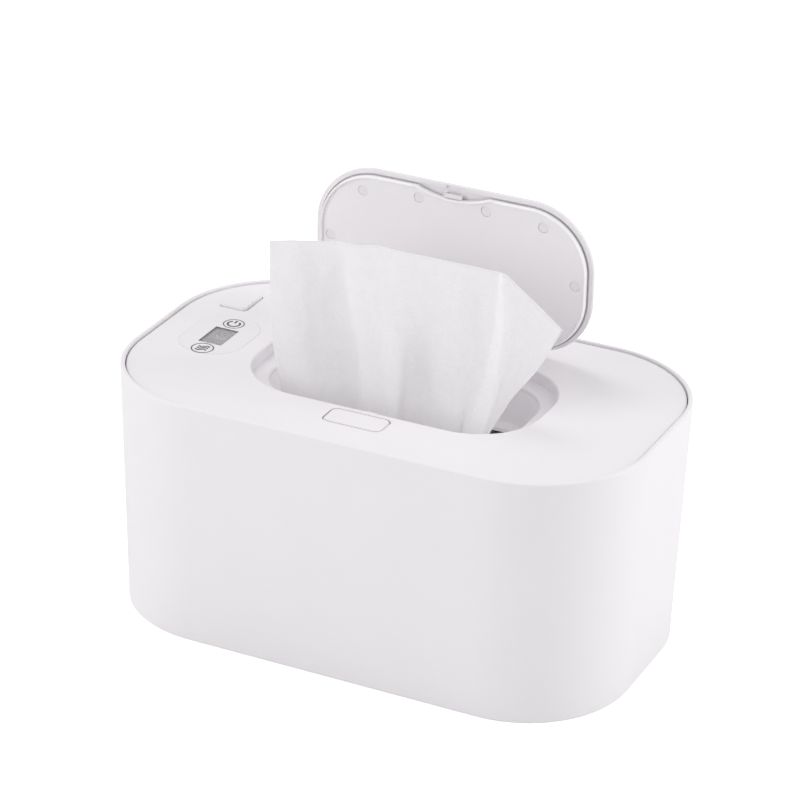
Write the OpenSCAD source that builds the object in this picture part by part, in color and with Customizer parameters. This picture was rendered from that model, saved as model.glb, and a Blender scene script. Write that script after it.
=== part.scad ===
// Warmer for baby wipes: a drafted oval tub with a lift-off cover, a sprung lid and a heated tank.
// +X is to the right, +Y away from the user, +Z up. The origin is on the table under the middle.

/* [Body] */
// Length of the body, at the rim
body_l = 220; // [212:1:240]
// Depth of the body, at the rim
body_w = 132; // [130:1:142]
// Height of the body without its feet
body_h = 103.5; // [102:0.5:112]
// Plan radius of the body's corners, at the rim
corner_r = 47.7; // [47:0.1:49]
// How far each side leans in from the rim to the base
draft = 2.9; // [2:0.1:3.4]
// Wall of the outer shell
wall = 2.5; // [2.2:0.1:2.8]
// Width of the rim that frames the cover
rim_w = 2; // [1.8:0.1:2.2]
// How far the rubber feet stand out below the base
foot_proud = 1; // [0.8:0.1:1.6]

/* [Cover] */
// Running gap between the rim and the cover
cover_gap = 0.45; // [0.3:0.05:0.6]
// How far the cover's top lies below the rim
cover_drop = 0.9; // [0.7:0.1:1.1]
// Thickness of the cover's panel
panel_t = 2.6; // [2.4:0.1:2.8]
// Length of the opening under the lid
opening_l = 121.2; // [118:0.1:122]
// Width of the opening under the lid
opening_w = 65.9; // [65:0.1:67]
// Plan radius of the opening's corners
opening_r = 27.5; // [27:0.1:28]
// How far the opening's middle lies behind the body's middle
opening_y = -0.9; // [-1.2:0.1:-0.6]
// Width of the ledge that the lid closes on
ledge_w = 7; // [6.8:0.1:7.2]

/* [Lid] */
// Gap between the lid and the opening
lid_gap = 0.35; // [0.3:0.05:0.4]
// How far the lid opens, in degrees
lid_open = 88.5; // [80:0.5:88.5]
// Thickness of the lid's outer band
lid_band_t = 2.4; // [2.3:0.1:2.5]
// Radius of the hinge pin
hinge_pin_r = 1.5; // [1.4:0.05:1.6]

/* [Controls] */
// Width of the control overlay
overlay_w = 27; // [25:1:28]
// Length of the control overlay
overlay_l = 37; // [35:1:38]
// Width of the lid button
lid_button_w = 24.6; // [24:0.1:25]
// Length of the lid button, front to back
lid_button_l = 11.7; // [11.4:0.1:11.8]
// How far the lid button travels
lid_button_travel = 1.2; // [1:0.1:1.2]
// How far the cover release travels
release_travel = 2; // [1.8:0.1:2]

/* [Tank] */
// Height of the tank's rim above the table
tank_top = 90; // [89:0.5:90]
// Height of the tank's underside above the table
tank_bottom = 20; // [19:0.5:21]
// Wall of the tank
tank_wall = 1.8; // [1.5:0.1:2]
// Height of the folded stack of wipes
stack_h = 49; // [30:1:50]

/* [Hidden] */
$fn = 72;

// Plan of the body: arcs of corner_r about four corner centres
body_hx = body_l / 2 - corner_r;
body_hy = body_w / 2 - corner_r;
// Plan of the opening and the lid, about the opening's middle
open_hx = opening_l / 2 - opening_r;
open_hy = opening_w / 2 - opening_r;

// Heights
shell_z = foot_proud;
rim_z = foot_proud + body_h;
panel_z = rim_z - cover_drop;
panel_under = panel_z - panel_t;
recess_depth = 5;
ledge_z = panel_z - recess_depth;
ledge_t = 2;
ledge_round = 1.2;
opening_round = 0.8;
ledge_under = ledge_z - ledge_t;
seal_t = 1.2;
shelf_z = panel_under - seal_t;
shelf_t = 2.4;
plate_t = 2.5;
base_top = shell_z + plate_t;

// Radii about the body's corner centres
shelf_r = corner_r - 6.7;
cover_r = corner_r - rim_w - cover_gap;
skirt_r = shelf_r - 0.5;
skirt_t = 1.6;
skirt_h = 5;
function wall_r(z) = corner_r - draft * (rim_z - z) / body_h;
function inside_r(z) = wall_r(z) - wall;

// Lid, drawn closed and then turned open about the hinge
lid_r = opening_r - lid_gap;
lid_under = panel_z - lid_band_t;
lid_plate_t = 1.6;
lid_band_w = 1.85;
liner_r = opening_r - 4.1;
liner_z = ledge_z + 1.1;
liner_t = 1.4;
hinge_y = opening_y + opening_w / 2 + 6.85;
hinge_z = panel_z - 6;
hinge_clear = 0.05;
tab_w = 36;
tab_side_gap = 0.4;
tab_end_y = hinge_y + 5.1;
knuckle_r = 3.1;
knuckle_x = [9.5, 17.6];
stop_x = [12.5, 16];
stop_len = 4.6;
stop_half_t = 1.2;
lid_front_y = opening_y - opening_w / 2 + lid_gap;
// Distance from the hinge of the opening's rear edge, at a place along X
function swing_r(x) = 0.2 + norm([
  hinge_y - opening_y - open_hy - sqrt(pow(opening_r, 2) - pow(max(0, x - open_hx), 2)),
  panel_z - hinge_z]);
lid_stakes = [for (x = [-1, 1], p = [[14.5, -25.9], [39, -24], [53.2, -2], [39, 21]])
  [x * p[0], p[1]]];
lid_stake_r = 2.1;

// Bay that the lid's seal bends round, over the catch
bay_r = 41;
bay_y = lid_front_y + 6.2 - bay_r;
catch_w = 5.8;
catch_post = 0.9;
catch_y = [lid_front_y + 3.6, lid_front_y + 5.2];
catch_z = [ledge_z + 1.3, ledge_z + 2.2];

// Hook that holds the lid, and the button above its arm
hook_y = lid_front_y + 1.5;
hook_z = ledge_under - 6.1;
hook_w = 5;
hook_hub_r = 2;
hook_axle_r = 1;
hook_stem_y = [lid_front_y + 1.9, lid_front_y + 3.3];
hook_nose = 1.1;
hook_top = panel_z - lid_plate_t - 0.45;
hook_arm_t = 1.8;
ear_x = [3.9, 5.7];
button_y = -42.8;
button_gap = 0.5;
button_r = 3;
button_tab = 1.6;
guide_wall = 1.5;
guide_floor = ledge_under - 4.6;
stem_r = 2;

// Cover release at the rear left corner, and the latch that it draws in
release_pos = [-89.7, 33.2];
release_size = [11.6, 16];
release_proud = 1;
release_gap = 0.4;
latch_z = [shelf_z - shelf_t - 4.4, shelf_z - shelf_t - 0.4];
release_floor = latch_z[1] + 1.5;
latch_half_w = 4.5;
nose_half_w = 3;
latch_end_x = -82;
latch_stop_x = -75;
latch_reach = 1.6;
wedge_half_w = 2;
wedge_x = [-92, -88];

// Controls on the left of the cover
overlay_pos = [-82.2, 0.5];
overlay_corner = 12.5;
overlay_t = 0.2;
display_pos = [-82, -0.9];
display_size = [10.3, 15.5];
lens_size = [12.6, 17.6];
board_z = 95;
board_t = 1.6;
board_box = [[-99, -24], [-65, 25.5]];
board_screw_at = [[-95.5, -18], [-68, -20], [-96, 20.5], [-68, 21.5]];
touch_at = [[-82.2, 12.8], [-82, -14.6]];
contact_x = -96;
contact_y = [-4.8, -1.6, 1.6, 4.8];
contact_block_z = [tank_top, tank_top + 2.5];

// Tank and the parts below it
tank_r = corner_r - 11.7;
tank_flange_r = corner_r - 4.7;
tank_floor_t = 1.5;
tank_fillet = 6;
tank_boss_r = corner_r - 6.2;
film_t = 0.8;
foam_t = 4.2;
tray_floor_z = panel_z - 23.1;
tray_wall = 1.6;
tray_hole_r = opening_r - 10;
tray_screw_r = opening_r + 4.4;
base_screw_at = [88, 24];
foot_at = [70, 38];
foot_r = 6.5;
power_board_box = [[-10, -12], [70, 45]];
power_board_z = 7;
jack_x = 45;
jack_z = 14;
jack_face_y = body_hy + wall_r(jack_z);
jack_bore_r = 3.15;
jack_pin_r = 1;

// Pulled wipe: left and right ends of its lower and upper edges, and its folds
wipe_t = 1;
wipe_foot = [-47, 37];
wipe_neck = [-51, 39.5];
wipe_head = [-61, 64];
wipe_foot_z = tank_bottom + tank_floor_t + 0.2 + stack_h + 0.6;
wipe_neck_z = 88;
wipe_head_z = 155;
wipe_fold_depth = 6;
wipe_fold_at = 0.2;
wipe_fold_pitch = 0.62;
wipe_cols = 34;
wipe_rows = 12;

// Colours, as the photograph shows them
body_white = [0.93, 0.92, 0.92];
liner_white = [0.88, 0.87, 0.87];
seal_grey = [0.8, 0.8, 0.8];
cloth_white = [0.96, 0.95, 0.95];
steel = [0.72, 0.73, 0.75];
brass = [0.8, 0.66, 0.36];
board_green = [0.15, 0.4, 0.25];
rubber_grey = [0.55, 0.55, 0.56];

// Points on an arc about c, from angle a0 to a1
function arc(c, r, a0, a1, n = 4) =
  [for (i = [0:n]) let (a = a0 + (a1 - a0) * i / n) c + r * [cos(a), sin(a)]];
function mix(a, b, t) = a + (b - a) * t;
function smooth(t) = t * t * (3 - 2 * t);

// Two triangles of a four-cornered face
function quad(a, b, c, d) = [[a, b, c], [a, c, d]];

// Block between two opposite corners
module block(low, high) translate(low) cube(high - low);

// Rod along X between two ends
module rod_x(y, z, r, ends) translate([ends[0], y, z]) rotate([0, 90, 0])
  cylinder(r = r, h = ends[1] - ends[0]);

// Extrudes a profile of (y, z) points along X between two ends
module along_x(ends) translate([ends[0], 0, 0]) rotate([90, 0, 90])
  linear_extrude(ends[1] - ends[0]) children();

// Extrudes a profile of (x, z) points along Y between two ends
module along_y(ends) translate([0, ends[1], 0]) rotate([90, 0, 0])
  linear_extrude(ends[1] - ends[0]) children();

// Rounded rectangle: arcs of radius r about the four points (hx, hy)
module rounded(hx, hy, r) {
  square([2 * hx, 2 * (hy + r)], center = true);
  square([2 * (hx + r), 2 * hy], center = true);
  for (x = [-hx, hx], y = [-hy, hy]) translate([x, y]) circle(r);
}

// Rounded rectangle by its outer size
module rounded_rect(size, r) rounded(size[0] / 2 - r, size[1] / 2 - r, r);

// Sweeps a profile of (distance from the corner centres, z) points round a rounded rectangle
module sweep_ring(hx, hy) {
  for (q = [0:3])
    translate([(q == 0 || q == 3) ? hx : -hx, q < 2 ? hy : -hy, 0]) rotate(90 * q)
      rotate_extrude(angle = 90) children();
  for (turn = [0, 180]) rotate(turn) {
    translate([hx, hy, 0]) rotate([90, 0, 0]) linear_extrude(2 * hy) children();
    translate([-hx, hy, 0]) rotate([90, 0, 90]) linear_extrude(2 * hx) children();
  }
}

// The same, for a profile that starts at the corner centres, filled in the middle from z0 to z1
module sweep_slab(hx, hy, z0, z1) {
  sweep_ring(hx, hy) children();
  block([-hx, -hy, z0], [hx, hy, z1]);
}

// Puts a shape at each of the four mirrored places of (x, y)
module four_ways(p) for (x = [-p[0], p[0]], y = [-p[1], p[1]]) translate([x, y, 0]) children();

// Puts a shape at radius r, at 45 degrees in each corner of a rounded rectangle
module each_corner(hx, hy, r) four_ways([hx + r * sqrt(0.5), hy + r * sqrt(0.5)]) children();

// Coil spring of round wire that stands on the XY plane. Straight legs may carry on from its ends
module coil_spring(r, wire_r, turns, h, legs = [0, 0], sides = 6, steps = 10) {
  climb = (h - 2 * wire_r) / turns / steps;
  // Angle, distance along a leg and height of each ring of points
  places = concat(
    legs[0] > 0 ? [[0, -legs[0], wire_r]] : [],
    [for (i = [0:turns * steps]) [360 * i / steps, 0, wire_r + climb * i]],
    legs[1] > 0 ? [[360 * turns, legs[1], h - wire_r]] : []
  );
  rings = len(places) - 1;
  points = [
    for (p = places, j = [0:sides - 1])
      let (b = 360 * j / sides, d = r + wire_r * cos(b))
        [d * cos(p[0]), d * sin(p[0]) + p[1], p[2] + wire_r * sin(b)]
  ];
  walls = [
    for (i = [0:rings - 1], j = [0:sides - 1])
      let (p = i * sides + j, q = i * sides + (j + 1) % sides)
        each [[p, p + sides, q], [q, p + sides, q + sides]]
  ];
  caps = [
    for (j = [1:sides - 2])
      each [[0, j, j + 1], [rings * sides, rings * sides + j + 1, rings * sides + j]]
  ];
  polyhedron(points, concat(walls, caps));
}

// Wire through a list of points, with round bends
module wire(path, r) {
  for (i = [0:len(path) - 2]) {
    span = path[i + 1] - path[i];
    translate(path[i]) rotate([0, acos(span[2] / norm(span)), atan2(span[1], span[0])])
      cylinder(r = r, h = norm(span));
  }
  for (i = [1:1:len(path) - 2]) translate(path[i]) sphere(r);
}

// Turns the lid's pieces from closed to open
module opened() translate([0, hinge_y, hinge_z]) rotate([-lid_open, 0, 0])
  translate([0, -hinge_y, -hinge_z]) children();

// Moves a shape to the middle of the opening
module at_opening() translate([0, opening_y, 0]) children();

// Moves a shape to the middle of the cover release
module at_release() translate([release_pos[0], release_pos[1], 0]) children();

module outer_shell() color(body_white) difference() {
  union() {
    sweep_ring(body_hx, body_hy) polygon(concat(
      [[inside_r(shell_z), shell_z], [wall_r(shell_z) - 0.6, shell_z],
       [wall_r(shell_z + 0.6), shell_z + 0.6]],
      arc([corner_r - 0.9, rim_z - 0.9], 0.9, 0, 90),
      arc([corner_r - rim_w + 0.5, rim_z - 0.5], 0.5, 90, 180),
      [[corner_r - rim_w, shelf_z], [shelf_r, shelf_z], [shelf_r, shelf_z - shelf_t],
       [inside_r(shelf_z - shelf_t), shelf_z - shelf_t]]
    ));
    tank_bosses();
    four_ways(base_screw_at) {
      translate([0, 0, base_top + 0.1]) cylinder(r = 4, h = 11);
    }
    for (x = [-1, 1], y = [-1, 1]) scale([x, 1, 1])
      block([base_screw_at[0], y * base_screw_at[1] - 1, base_top + 0.6],
            [body_hx + inside_r(base_top) + 0.6, y * base_screw_at[1] + 1, base_top + 9]);
  }
  four_ways(base_screw_at) translate([0, 0, base_top]) cylinder(r = 1.25, h = 10);
  each_corner(body_hx, body_hy, tank_boss_r) translate([0, 0, tank_top - 12])
    cylinder(r = 1.25, h = 12);
  translate([jack_x, jack_face_y + 5, jack_z]) rotate([90, 0, 0]) cylinder(r = 5, h = 10);
}

// Bosses on the shell's inside that the tank's flange stands on
module tank_bosses() {
  module boss() translate([0, 0, tank_top - 28]) cylinder(r = 3.4, h = 26);
  each_corner(body_hx, body_hy, tank_boss_r) boss();
  four_ways([body_hx + tank_boss_r, 14]) boss();
  four_ways([30, body_hy + tank_boss_r]) boss();
}

module base_plate() color(body_white) difference() {
  union() {
    translate([0, 0, shell_z]) linear_extrude(plate_t)
      rounded(body_hx, body_hy, inside_r(shell_z) - 0.3);
    board_posts() cylinder(r = 3, h = power_board_z - base_top + 0.5);
  }
  four_ways(base_screw_at) {
    cylinder(r = 1.7, h = 9);
    translate([0, 0, shell_z - 0.01]) cylinder(r1 = 3.4, r2 = 1.7, h = 1.7);
  }
  four_ways(foot_at) cylinder(r = foot_r + 0.1, h = shell_z + 1);
  board_posts() cylinder(r = 1.1, h = 9);
}

// Places of the power board's four posts
module board_posts() for (x = [0, 1], y = [0, 1])
  translate([power_board_box[x][0] + (x ? -4 : 4), power_board_box[y][1] + (y ? -4 : 4),
             base_top - 0.5]) children();

module base_screws() color(steel) {
  four_ways(base_screw_at) {
    translate([0, 0, shell_z + 0.15]) cylinder(r1 = 3.1, r2 = 1.25, h = 1.6);
    translate([0, 0, shell_z + 1.7]) cylinder(r = 1.25, h = 10);
  }
  board_posts() {
    cylinder(r = 1.1, h = power_board_z + board_t - base_top + 0.5);
    translate([0, 0, power_board_z + board_t - base_top + 0.5]) cylinder(r = 2.2, h = 1.3);
  }
}

module rubber_feet() color(rubber_grey) four_ways(foot_at) rotate_extrude()
  polygon(concat([[0, 0]], arc([foot_r - 0.6, 0.6], 0.6, -90, 0),
                 [[foot_r, shell_z + 1], [0, shell_z + 1]]));

module inner_tank() color(steel) difference() {
  union() {
    inner_r = tank_r - tank_wall;
    floor_top = tank_bottom + tank_floor_t;
    sweep_slab(body_hx, body_hy, tank_bottom, floor_top) polygon(concat(
      [[0, tank_bottom]],
      arc([tank_r - tank_fillet, tank_bottom + tank_fillet], tank_fillet, -90, 0, 6),
      [[tank_r, tank_top - 2], [tank_flange_r, tank_top - 2], [tank_flange_r, tank_top],
       [inner_r, tank_top]],
      arc([inner_r - 4, floor_top + 4], 4, 0, -90, 6),
      [[0, floor_top]]
    ));
  }
  each_corner(body_hx, body_hy, tank_boss_r) translate([0, 0, tank_top - 3])
    cylinder(r = 1.6, h = 4);
  block([-body_hx - tank_boss_r + 1, -5, tank_top - 3],
        [-body_hx - tank_r - 2, 5, tank_top + 1]);
}

module tank_screws() color(steel) each_corner(body_hx, body_hy, tank_boss_r) {
  translate([0, 0, tank_top - 10]) cylinder(r = 1.25, h = 10.5);
  translate([0, 0, tank_top]) cylinder(r = 2.5, h = 1.6);
}

module heating_film() color("orange") translate([0, 0, tank_bottom - film_t])
  linear_extrude(film_t) rounded(body_hx, body_hy, tank_r - 10);

module insulation_foam() color("ivory") difference() {
  translate([0, 0, tank_bottom - film_t - foam_t]) linear_extrude(foam_t)
    rounded(body_hx, body_hy, tank_r - 2);
  for (x = [-20, 20]) translate([x, 0, tank_bottom - 10]) cylinder(r = x > 0 ? 6.4 : 3, h = 12);
  translate([50, 0, tank_bottom - 10]) cylinder(r = 4, h = 12);
}

module thermal_cutoff() color(steel) translate([20, 0, tank_bottom - film_t - foam_t])
  rotate_extrude() polygon([[0, 0], [5, 0], [5, 0.8], [6, 0.8], [6, foam_t], [0, foam_t]]);

module thermistor() color("tan") translate([-20, 0, tank_bottom - film_t - foam_t]) {
  cylinder(r = 2.5, h = foam_t);
}

module power_board() color(board_green) difference() {
  block(concat(power_board_box[0], power_board_z),
        concat(power_board_box[1], power_board_z + board_t));
  board_posts() cylinder(r = 1.3, h = 9);
}

module power_board_parts() color([0.2, 0.2, 0.22]) translate([0, 0, power_board_z + board_t]) {
  block([12, 18, 0], [26, 30, 5.5]);
  translate([40, 20, 0]) cylinder(r = 4, h = 5.8);
  translate([52, 20, 0]) cylinder(r = 4, h = 5.8);
  block([34, 32, 0], [41, 40, 3]);
  block([-2, 6, 0], [4, 14, 4.5]);
  block([44, 2, 0], [56, 8, 4]);
}

module dc_jack() color([0.12, 0.12, 0.13]) difference() {
  union() {
    block([jack_x - 4.5, jack_face_y - 10.5, jack_z - 4.5],
          [jack_x + 4.5, body_hy + inside_r(jack_z) - 0.3, jack_z + 4.5]);
    translate([jack_x, jack_face_y - 0.3, jack_z]) rotate([90, 0, 0]) cylinder(r = 4.8, h = 4);
  }
  translate([jack_x, jack_face_y + 1, jack_z]) rotate([90, 0, 0])
    cylinder(r = jack_bore_r, h = 10.2);
}

module jack_pin() color(steel) translate([jack_x, jack_face_y - 1.2, jack_z])
  rotate([90, 0, 0]) cylinder(r = jack_pin_r, h = 8);

module jack_leads() for (x = [-2, 2]) color(x < 0 ? "black" : "firebrick")
  wire([[jack_x + x, jack_face_y - 10.5, jack_z], [jack_x + x, 42.5, jack_z],
        [jack_x + x, 42.5, power_board_z + board_t]], 0.8);

module heater_leads() for (x = [-1.5, 1.5]) color("white")
  translate([50 + x, 0, power_board_z + board_t]) cylinder(r = 0.8,
    h = tank_bottom - film_t - power_board_z - board_t);

module contact_block() color([0.2, 0.2, 0.22])
  block([-body_hx - tank_flange_r + 0.5, -7, contact_block_z[0]],
        [contact_x + 3, 7, contact_block_z[1]]);

module contact_pads() color(brass) for (y = contact_y)
  translate([contact_x, y, contact_block_z[1]]) cylinder(r = 1.2, h = 0.3);

module contact_ribbon() color([0.6, 0.6, 0.62]) {
  x = -body_hx - tank_r - 4;
  block([x, -4, base_top + 0.4], [power_board_box[0][0] + 3, 4, base_top + 1.4]);
  block([x, -4, base_top + 0.4], [x + 1, 4, tank_top]);
  block([power_board_box[0][0] + 2, -4, base_top + 0.4],
        [power_board_box[0][0] + 3, 4, power_board_z]);
}

module wipe_stack() color(cloth_white) {
  floor_top = tank_bottom + tank_floor_t;
  translate([0, 0, floor_top + 0.2]) sweep_slab(body_hx, body_hy, 0, stack_h)
    polygon(concat([[0, 0], [tank_r - 7, 0]], arc([tank_r - 7, 5], 4, -90, 0),
                   arc([tank_r - 8, stack_h - 5], 5, 0, 90), [[0, stack_h]]));
}

module top_cover() color(body_white) difference() {
  union() {
    sweep_slab(body_hx, body_hy, panel_under, panel_z) polygon(concat(
      [[0, panel_under], [cover_r, panel_under]],
      arc([cover_r - 0.6, panel_z - 0.6], 0.6, 0, 90), [[0, panel_z]]));
    sweep_ring(body_hx, body_hy) polygon([
      [skirt_r - skirt_t, panel_under - skirt_h], [skirt_r, panel_under - skirt_h + 0.4],
      [skirt_r, panel_under + 1], [skirt_r - skirt_t, panel_under + 1]]);
    at_opening() sweep_ring(open_hx, open_hy) polygon(concat([
      [opening_r - ledge_w, ledge_under], [opening_r + 2, ledge_under],
      [opening_r + 2, panel_under + 1], [opening_r - 0.5, panel_under + 1],
      [opening_r - 0.5, ledge_z]],
      arc([opening_r - ledge_w + ledge_round, ledge_z - ledge_round], ledge_round, 90, 180)));
    at_opening() each_corner(open_hx, open_hy, tray_screw_r)
      translate([0, 0, ledge_under]) cylinder(r = 2.7, h = panel_under + 1 - ledge_under);
    hinge_pocket();
    hook_ears();
    button_guide();
    release_guide();
    for (p = board_screw_at) translate([p[0], p[1], board_z + board_t])
      cylinder(r = 2.5, h = panel_under + 1 - board_z - board_t);
  }
  cover_openings();
}

// Everything that is cut from the cover after its ribs and guides are joined to it
module cover_openings() {
  at_opening() {
    translate([0, 0, ledge_z]) linear_extrude(30) rounded(open_hx, open_hy, opening_r);
    translate([0, 0, panel_z]) sweep_ring(open_hx, open_hy) polygon(concat(
      [[opening_r - 0.5, 0.1], [opening_r - 0.5, -opening_round]],
      arc([opening_r + opening_round, -opening_round], opening_round, 180, 90),
      [[opening_r + opening_round, 0.1]]));
    each_corner(open_hx, open_hy, tray_screw_r) translate([0, 0, ledge_under - 1])
      cylinder(r = 1, h = 5.5);
  }
  // Notch that the lid's tab swings through, with the pocket below it
  block([-tab_w / 2 - tab_side_gap, opening_y + opening_w / 2 - 1, panel_under],
        [tab_w / 2 + tab_side_gap, hinge_y + 8.1, panel_z + 1]);
  rod_x(hinge_y, hinge_z, hinge_pin_r, [-21.5, 21.5]);
  // Slot in the ledge for the hook
  block([-hook_w / 2 - 0.8, hook_stem_y[0] - 2.2, ledge_under - 1],
        [hook_w / 2 + 0.8, hook_stem_y[1] + 1.5, ledge_z + 2.4]);
  rod_x(hook_y, hook_z, hook_axle_r, [-10, 10]);
  translate([0, button_y, panel_under - 1]) linear_extrude(panel_t + 2)
    rounded_rect([lid_button_w + 2 * button_gap, lid_button_l + 2 * button_gap],
                 button_r + button_gap);
  at_release() translate([0, 0, release_floor]) linear_extrude(panel_t + 6)
    rounded_rect(release_size + 2 * release_gap * [1, 1], 1.5 + release_gap);
  // Window and seat of the controls
  translate([overlay_pos[0], overlay_pos[1], panel_z - 0.15]) linear_extrude(1)
    rounded_rect([overlay_w + 0.3, overlay_l + 0.3], overlay_corner);
  translate([display_pos[0], display_pos[1], panel_under - 1]) linear_extrude(panel_t + 2)
    square(lens_size + [0.4, 0.4], center = true);
  for (p = board_screw_at) translate([p[0], p[1], board_z]) cylinder(r = 1, h = 6);
  // Way of the latch's nose through the skirt
  block([-110, release_pos[1] - nose_half_w - 0.5, latch_z[0] - 3],
        [release_pos[0] - release_size[0] / 2 - 0.5, release_pos[1] + nose_half_w + 0.5,
         latch_z[1] + 0.5]);
}

// Pocket behind the opening: it holds the hinge pin and the lid's stop
module hinge_pocket() {
  half = tab_w / 2 + tab_side_gap;
  front = opening_y + opening_w / 2 + 2;
  back = hinge_y + 8.7;
  floor_z = hinge_z - 6.1;
  difference() {
    block([-half - 2.6, front - 2, floor_z - 1.5], [half + 2.6, back + 1.6, panel_under + 0.5]);
    block([-half, front, floor_z], [half, back, panel_under + 1]);
    block([-half - 3, front - 3, floor_z - 2], [half + 3, front - 1.99, ledge_under + 0.01]);
  }
  for (side = [-1, 1]) {
    ends = side > 0 ? stop_x : [-stop_x[1], -stop_x[0]];
    block([ends[0], front - 0.5, hinge_z + stop_half_t + 0.15],
          [ends[1], front + 1.9, panel_under - 0.4]);
  }
}

// Two ears under the ledge for the hook's axle
module hook_ears() for (side = [-1, 1]) {
  ends = side > 0 ? ear_x : [-ear_x[1], -ear_x[0]];
  along_x(ends) polygon(concat(
    [[hook_y + 2.05, ledge_under + 0.5], [hook_y - 3.2, ledge_under + 0.5]],
    arc([hook_y - 0.2, hook_z], 2.6, 180, 270, 5), arc([hook_y + 0.05, hook_z - 0.6], 2, 270, 360, 5)));
}

// Guide under the panel for the lid button, with a floor for its spring
module button_guide() {
  inner = [lid_button_w / 2 + button_tab + 0.5, lid_button_l / 2 + button_gap + 0.1];
  translate([0, button_y, 0]) difference() {
    block([-inner[0] - guide_wall, -inner[1] - guide_wall, guide_floor],
          [inner[0] + guide_wall, inner[1] + guide_wall, panel_under + 0.5]);
    block([-inner[0], -inner[1], guide_floor + 1.2], [inner[0], inner[1], panel_under]);
    cylinder(r = stem_r + 0.3, h = panel_under);
  }
  // Ribs that stop the button at the end of its travel
  for (x = [-6.5, 6.5], y = [-1, 1]) translate([x, button_y, 0]) scale([1, y, 1])
    block([-1.5, lid_button_l / 2 - 1.4, guide_floor + 0.5],
          [1.5, inner[1] + 0.3, panel_z - 5.55 - lid_button_travel]);
}

// Guide under the panel for the cover release, and the channel that its latch slides in
module release_guide() {
  inner = [release_size[0] / 2 + release_gap + 0.2, release_size[1] / 2 + release_gap + 0.2];
  channel = latch_half_w + 0.3;
  low = latch_z[0] - 0.3;
  left = release_pos[0] - release_size[0] / 2 - 2.2;
  difference() {
    intersection() {
      union() {
        at_release() block([-inner[0] - guide_wall, -inner[1] - guide_wall, latch_z[1] + 0.5],
                           [inner[0] + guide_wall, inner[1] + guide_wall, panel_under + 0.5]);
        block([left, release_pos[1] - channel - 1.4, low - 1.2],
              [latch_stop_x + 1.6, release_pos[1] + channel + 1.4, panel_under + 0.5]);
      }
      translate([-body_hx, body_hy, 0]) cylinder(r = skirt_r - 0.3, h = 200);
    }
    at_release() block([-inner[0], -inner[1], release_floor], [inner[0], inner[1], panel_under]);
    block([left - 5, release_pos[1] - channel, low],
          [latch_stop_x, release_pos[1] + channel, latch_z[1] + 0.3]);
    block([wedge_x[0] - 0.5, release_pos[1] - wedge_half_w - 0.3, low - 2],
          [wedge_x[1] + 0.5, release_pos[1] + wedge_half_w + 0.3, panel_under]);
  }
}

module cover_tray() color(liner_white) difference() {
  at_opening() {
    inner = opening_r - ledge_w;
    sweep_ring(open_hx, open_hy) polygon(concat(
      [[inner, ledge_under]],
      arc([inner - 1.5, tray_floor_z + 1.5], 1.5, 0, -90, 3),
      [[tray_hole_r + 0.8, tray_floor_z], [tray_hole_r, tray_floor_z - 0.8],
       [tray_hole_r, tray_floor_z - 2.2], [tray_hole_r + 1.2, tray_floor_z - 2.2],
       [tray_hole_r + 1.2, tray_floor_z - tray_wall],
       [inner + tray_wall, tray_floor_z - tray_wall],
       [inner + tray_wall, ledge_under - 1.6], [inner + 5, ledge_under - 1.6],
       [inner + 5, ledge_under]]));
    each_corner(open_hx, open_hy, tray_screw_r) translate([0, 0, ledge_under - 1.6])
      cylinder(r = 3.4, h = 1.6);
    each_corner(open_hx, open_hy, (inner + tray_screw_r) / 2) rotate(45)
      translate([0, 0, ledge_under - 0.8])
      cube([tray_screw_r - inner - 2, 5, 1.6], center = true);
  }
  at_opening() each_corner(open_hx, open_hy, tray_screw_r) translate([0, 0, ledge_under - 3])
    cylinder(r = 1.3, h = 4);
  block([-ear_x[1] - 0.5, -50, ledge_under - 12],
        [ear_x[1] + 0.5, opening_y - open_hy - opening_r + ledge_w - tray_wall, ledge_under + 1]);
  block([-tab_w / 2 - 4, opening_y + opening_w / 2 - 1.5, ledge_under - 12],
        [tab_w / 2 + 4, 60, ledge_under + 1]);
}

module tray_screws() color(steel) at_opening() each_corner(open_hx, open_hy, tray_screw_r) {
  translate([0, 0, ledge_under - 3]) cylinder(r = 2.2, h = 1.4);
  translate([0, 0, ledge_under - 2]) cylinder(r = 1, h = 6);
}

module cover_seal() color(seal_grey) sweep_ring(body_hx, body_hy)
  polygon(concat([[shelf_r + 0.4, panel_under], [shelf_r + 0.4, shelf_z + 0.5]],
                 arc([shelf_r + 1.2, shelf_z + 0.55], 0.5, 180, 360),
                 [[cover_r - 0.8, shelf_z + 0.5], [cover_r - 0.8, panel_under]]));

module control_overlay() color([0.95, 0.95, 0.95])
  translate([overlay_pos[0], overlay_pos[1], panel_z - 0.15]) linear_extrude(overlay_t)
  difference() {
    rounded_rect([overlay_w, overlay_l], overlay_corner);
    translate([display_pos[0] - overlay_pos[0], display_pos[1] - overlay_pos[1]])
      square(display_size, center = true);
  }

module display_lens() color([0.7, 0.7, 0.7]) translate([display_pos[0], display_pos[1], 0]) {
  translate([0, 0, panel_z - 1.3]) linear_extrude(1.1) square(lens_size, center = true);
  translate([0, 0, panel_z - 0.25]) linear_extrude(0.25)
    square(display_size - [0.2, 0.2], center = true);
}

module lcd_module() color([0.25, 0.28, 0.26]) translate([display_pos[0], display_pos[1], 0]) {
  block([-8, -9.8, board_z + board_t], [8, 9.6, panel_under - 0.1]);
  block([-6, -8.5, panel_under - 0.2], [6, 8.5, panel_z - 1.4]);
}

module control_board() color(board_green) difference() {
  block(concat(board_box[0], board_z), concat(board_box[1], board_z + board_t));
  for (p = board_screw_at) translate([p[0], p[1], board_z - 1]) cylinder(r = 1.2, h = 4);
}

module board_screws() color(steel) for (p = board_screw_at) translate([p[0], p[1], 0]) {
  translate([0, 0, board_z - 1.2]) cylinder(r = 2, h = 1.2);
  translate([0, 0, board_z - 0.5]) cylinder(r = 1, h = 5.5);
}

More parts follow.
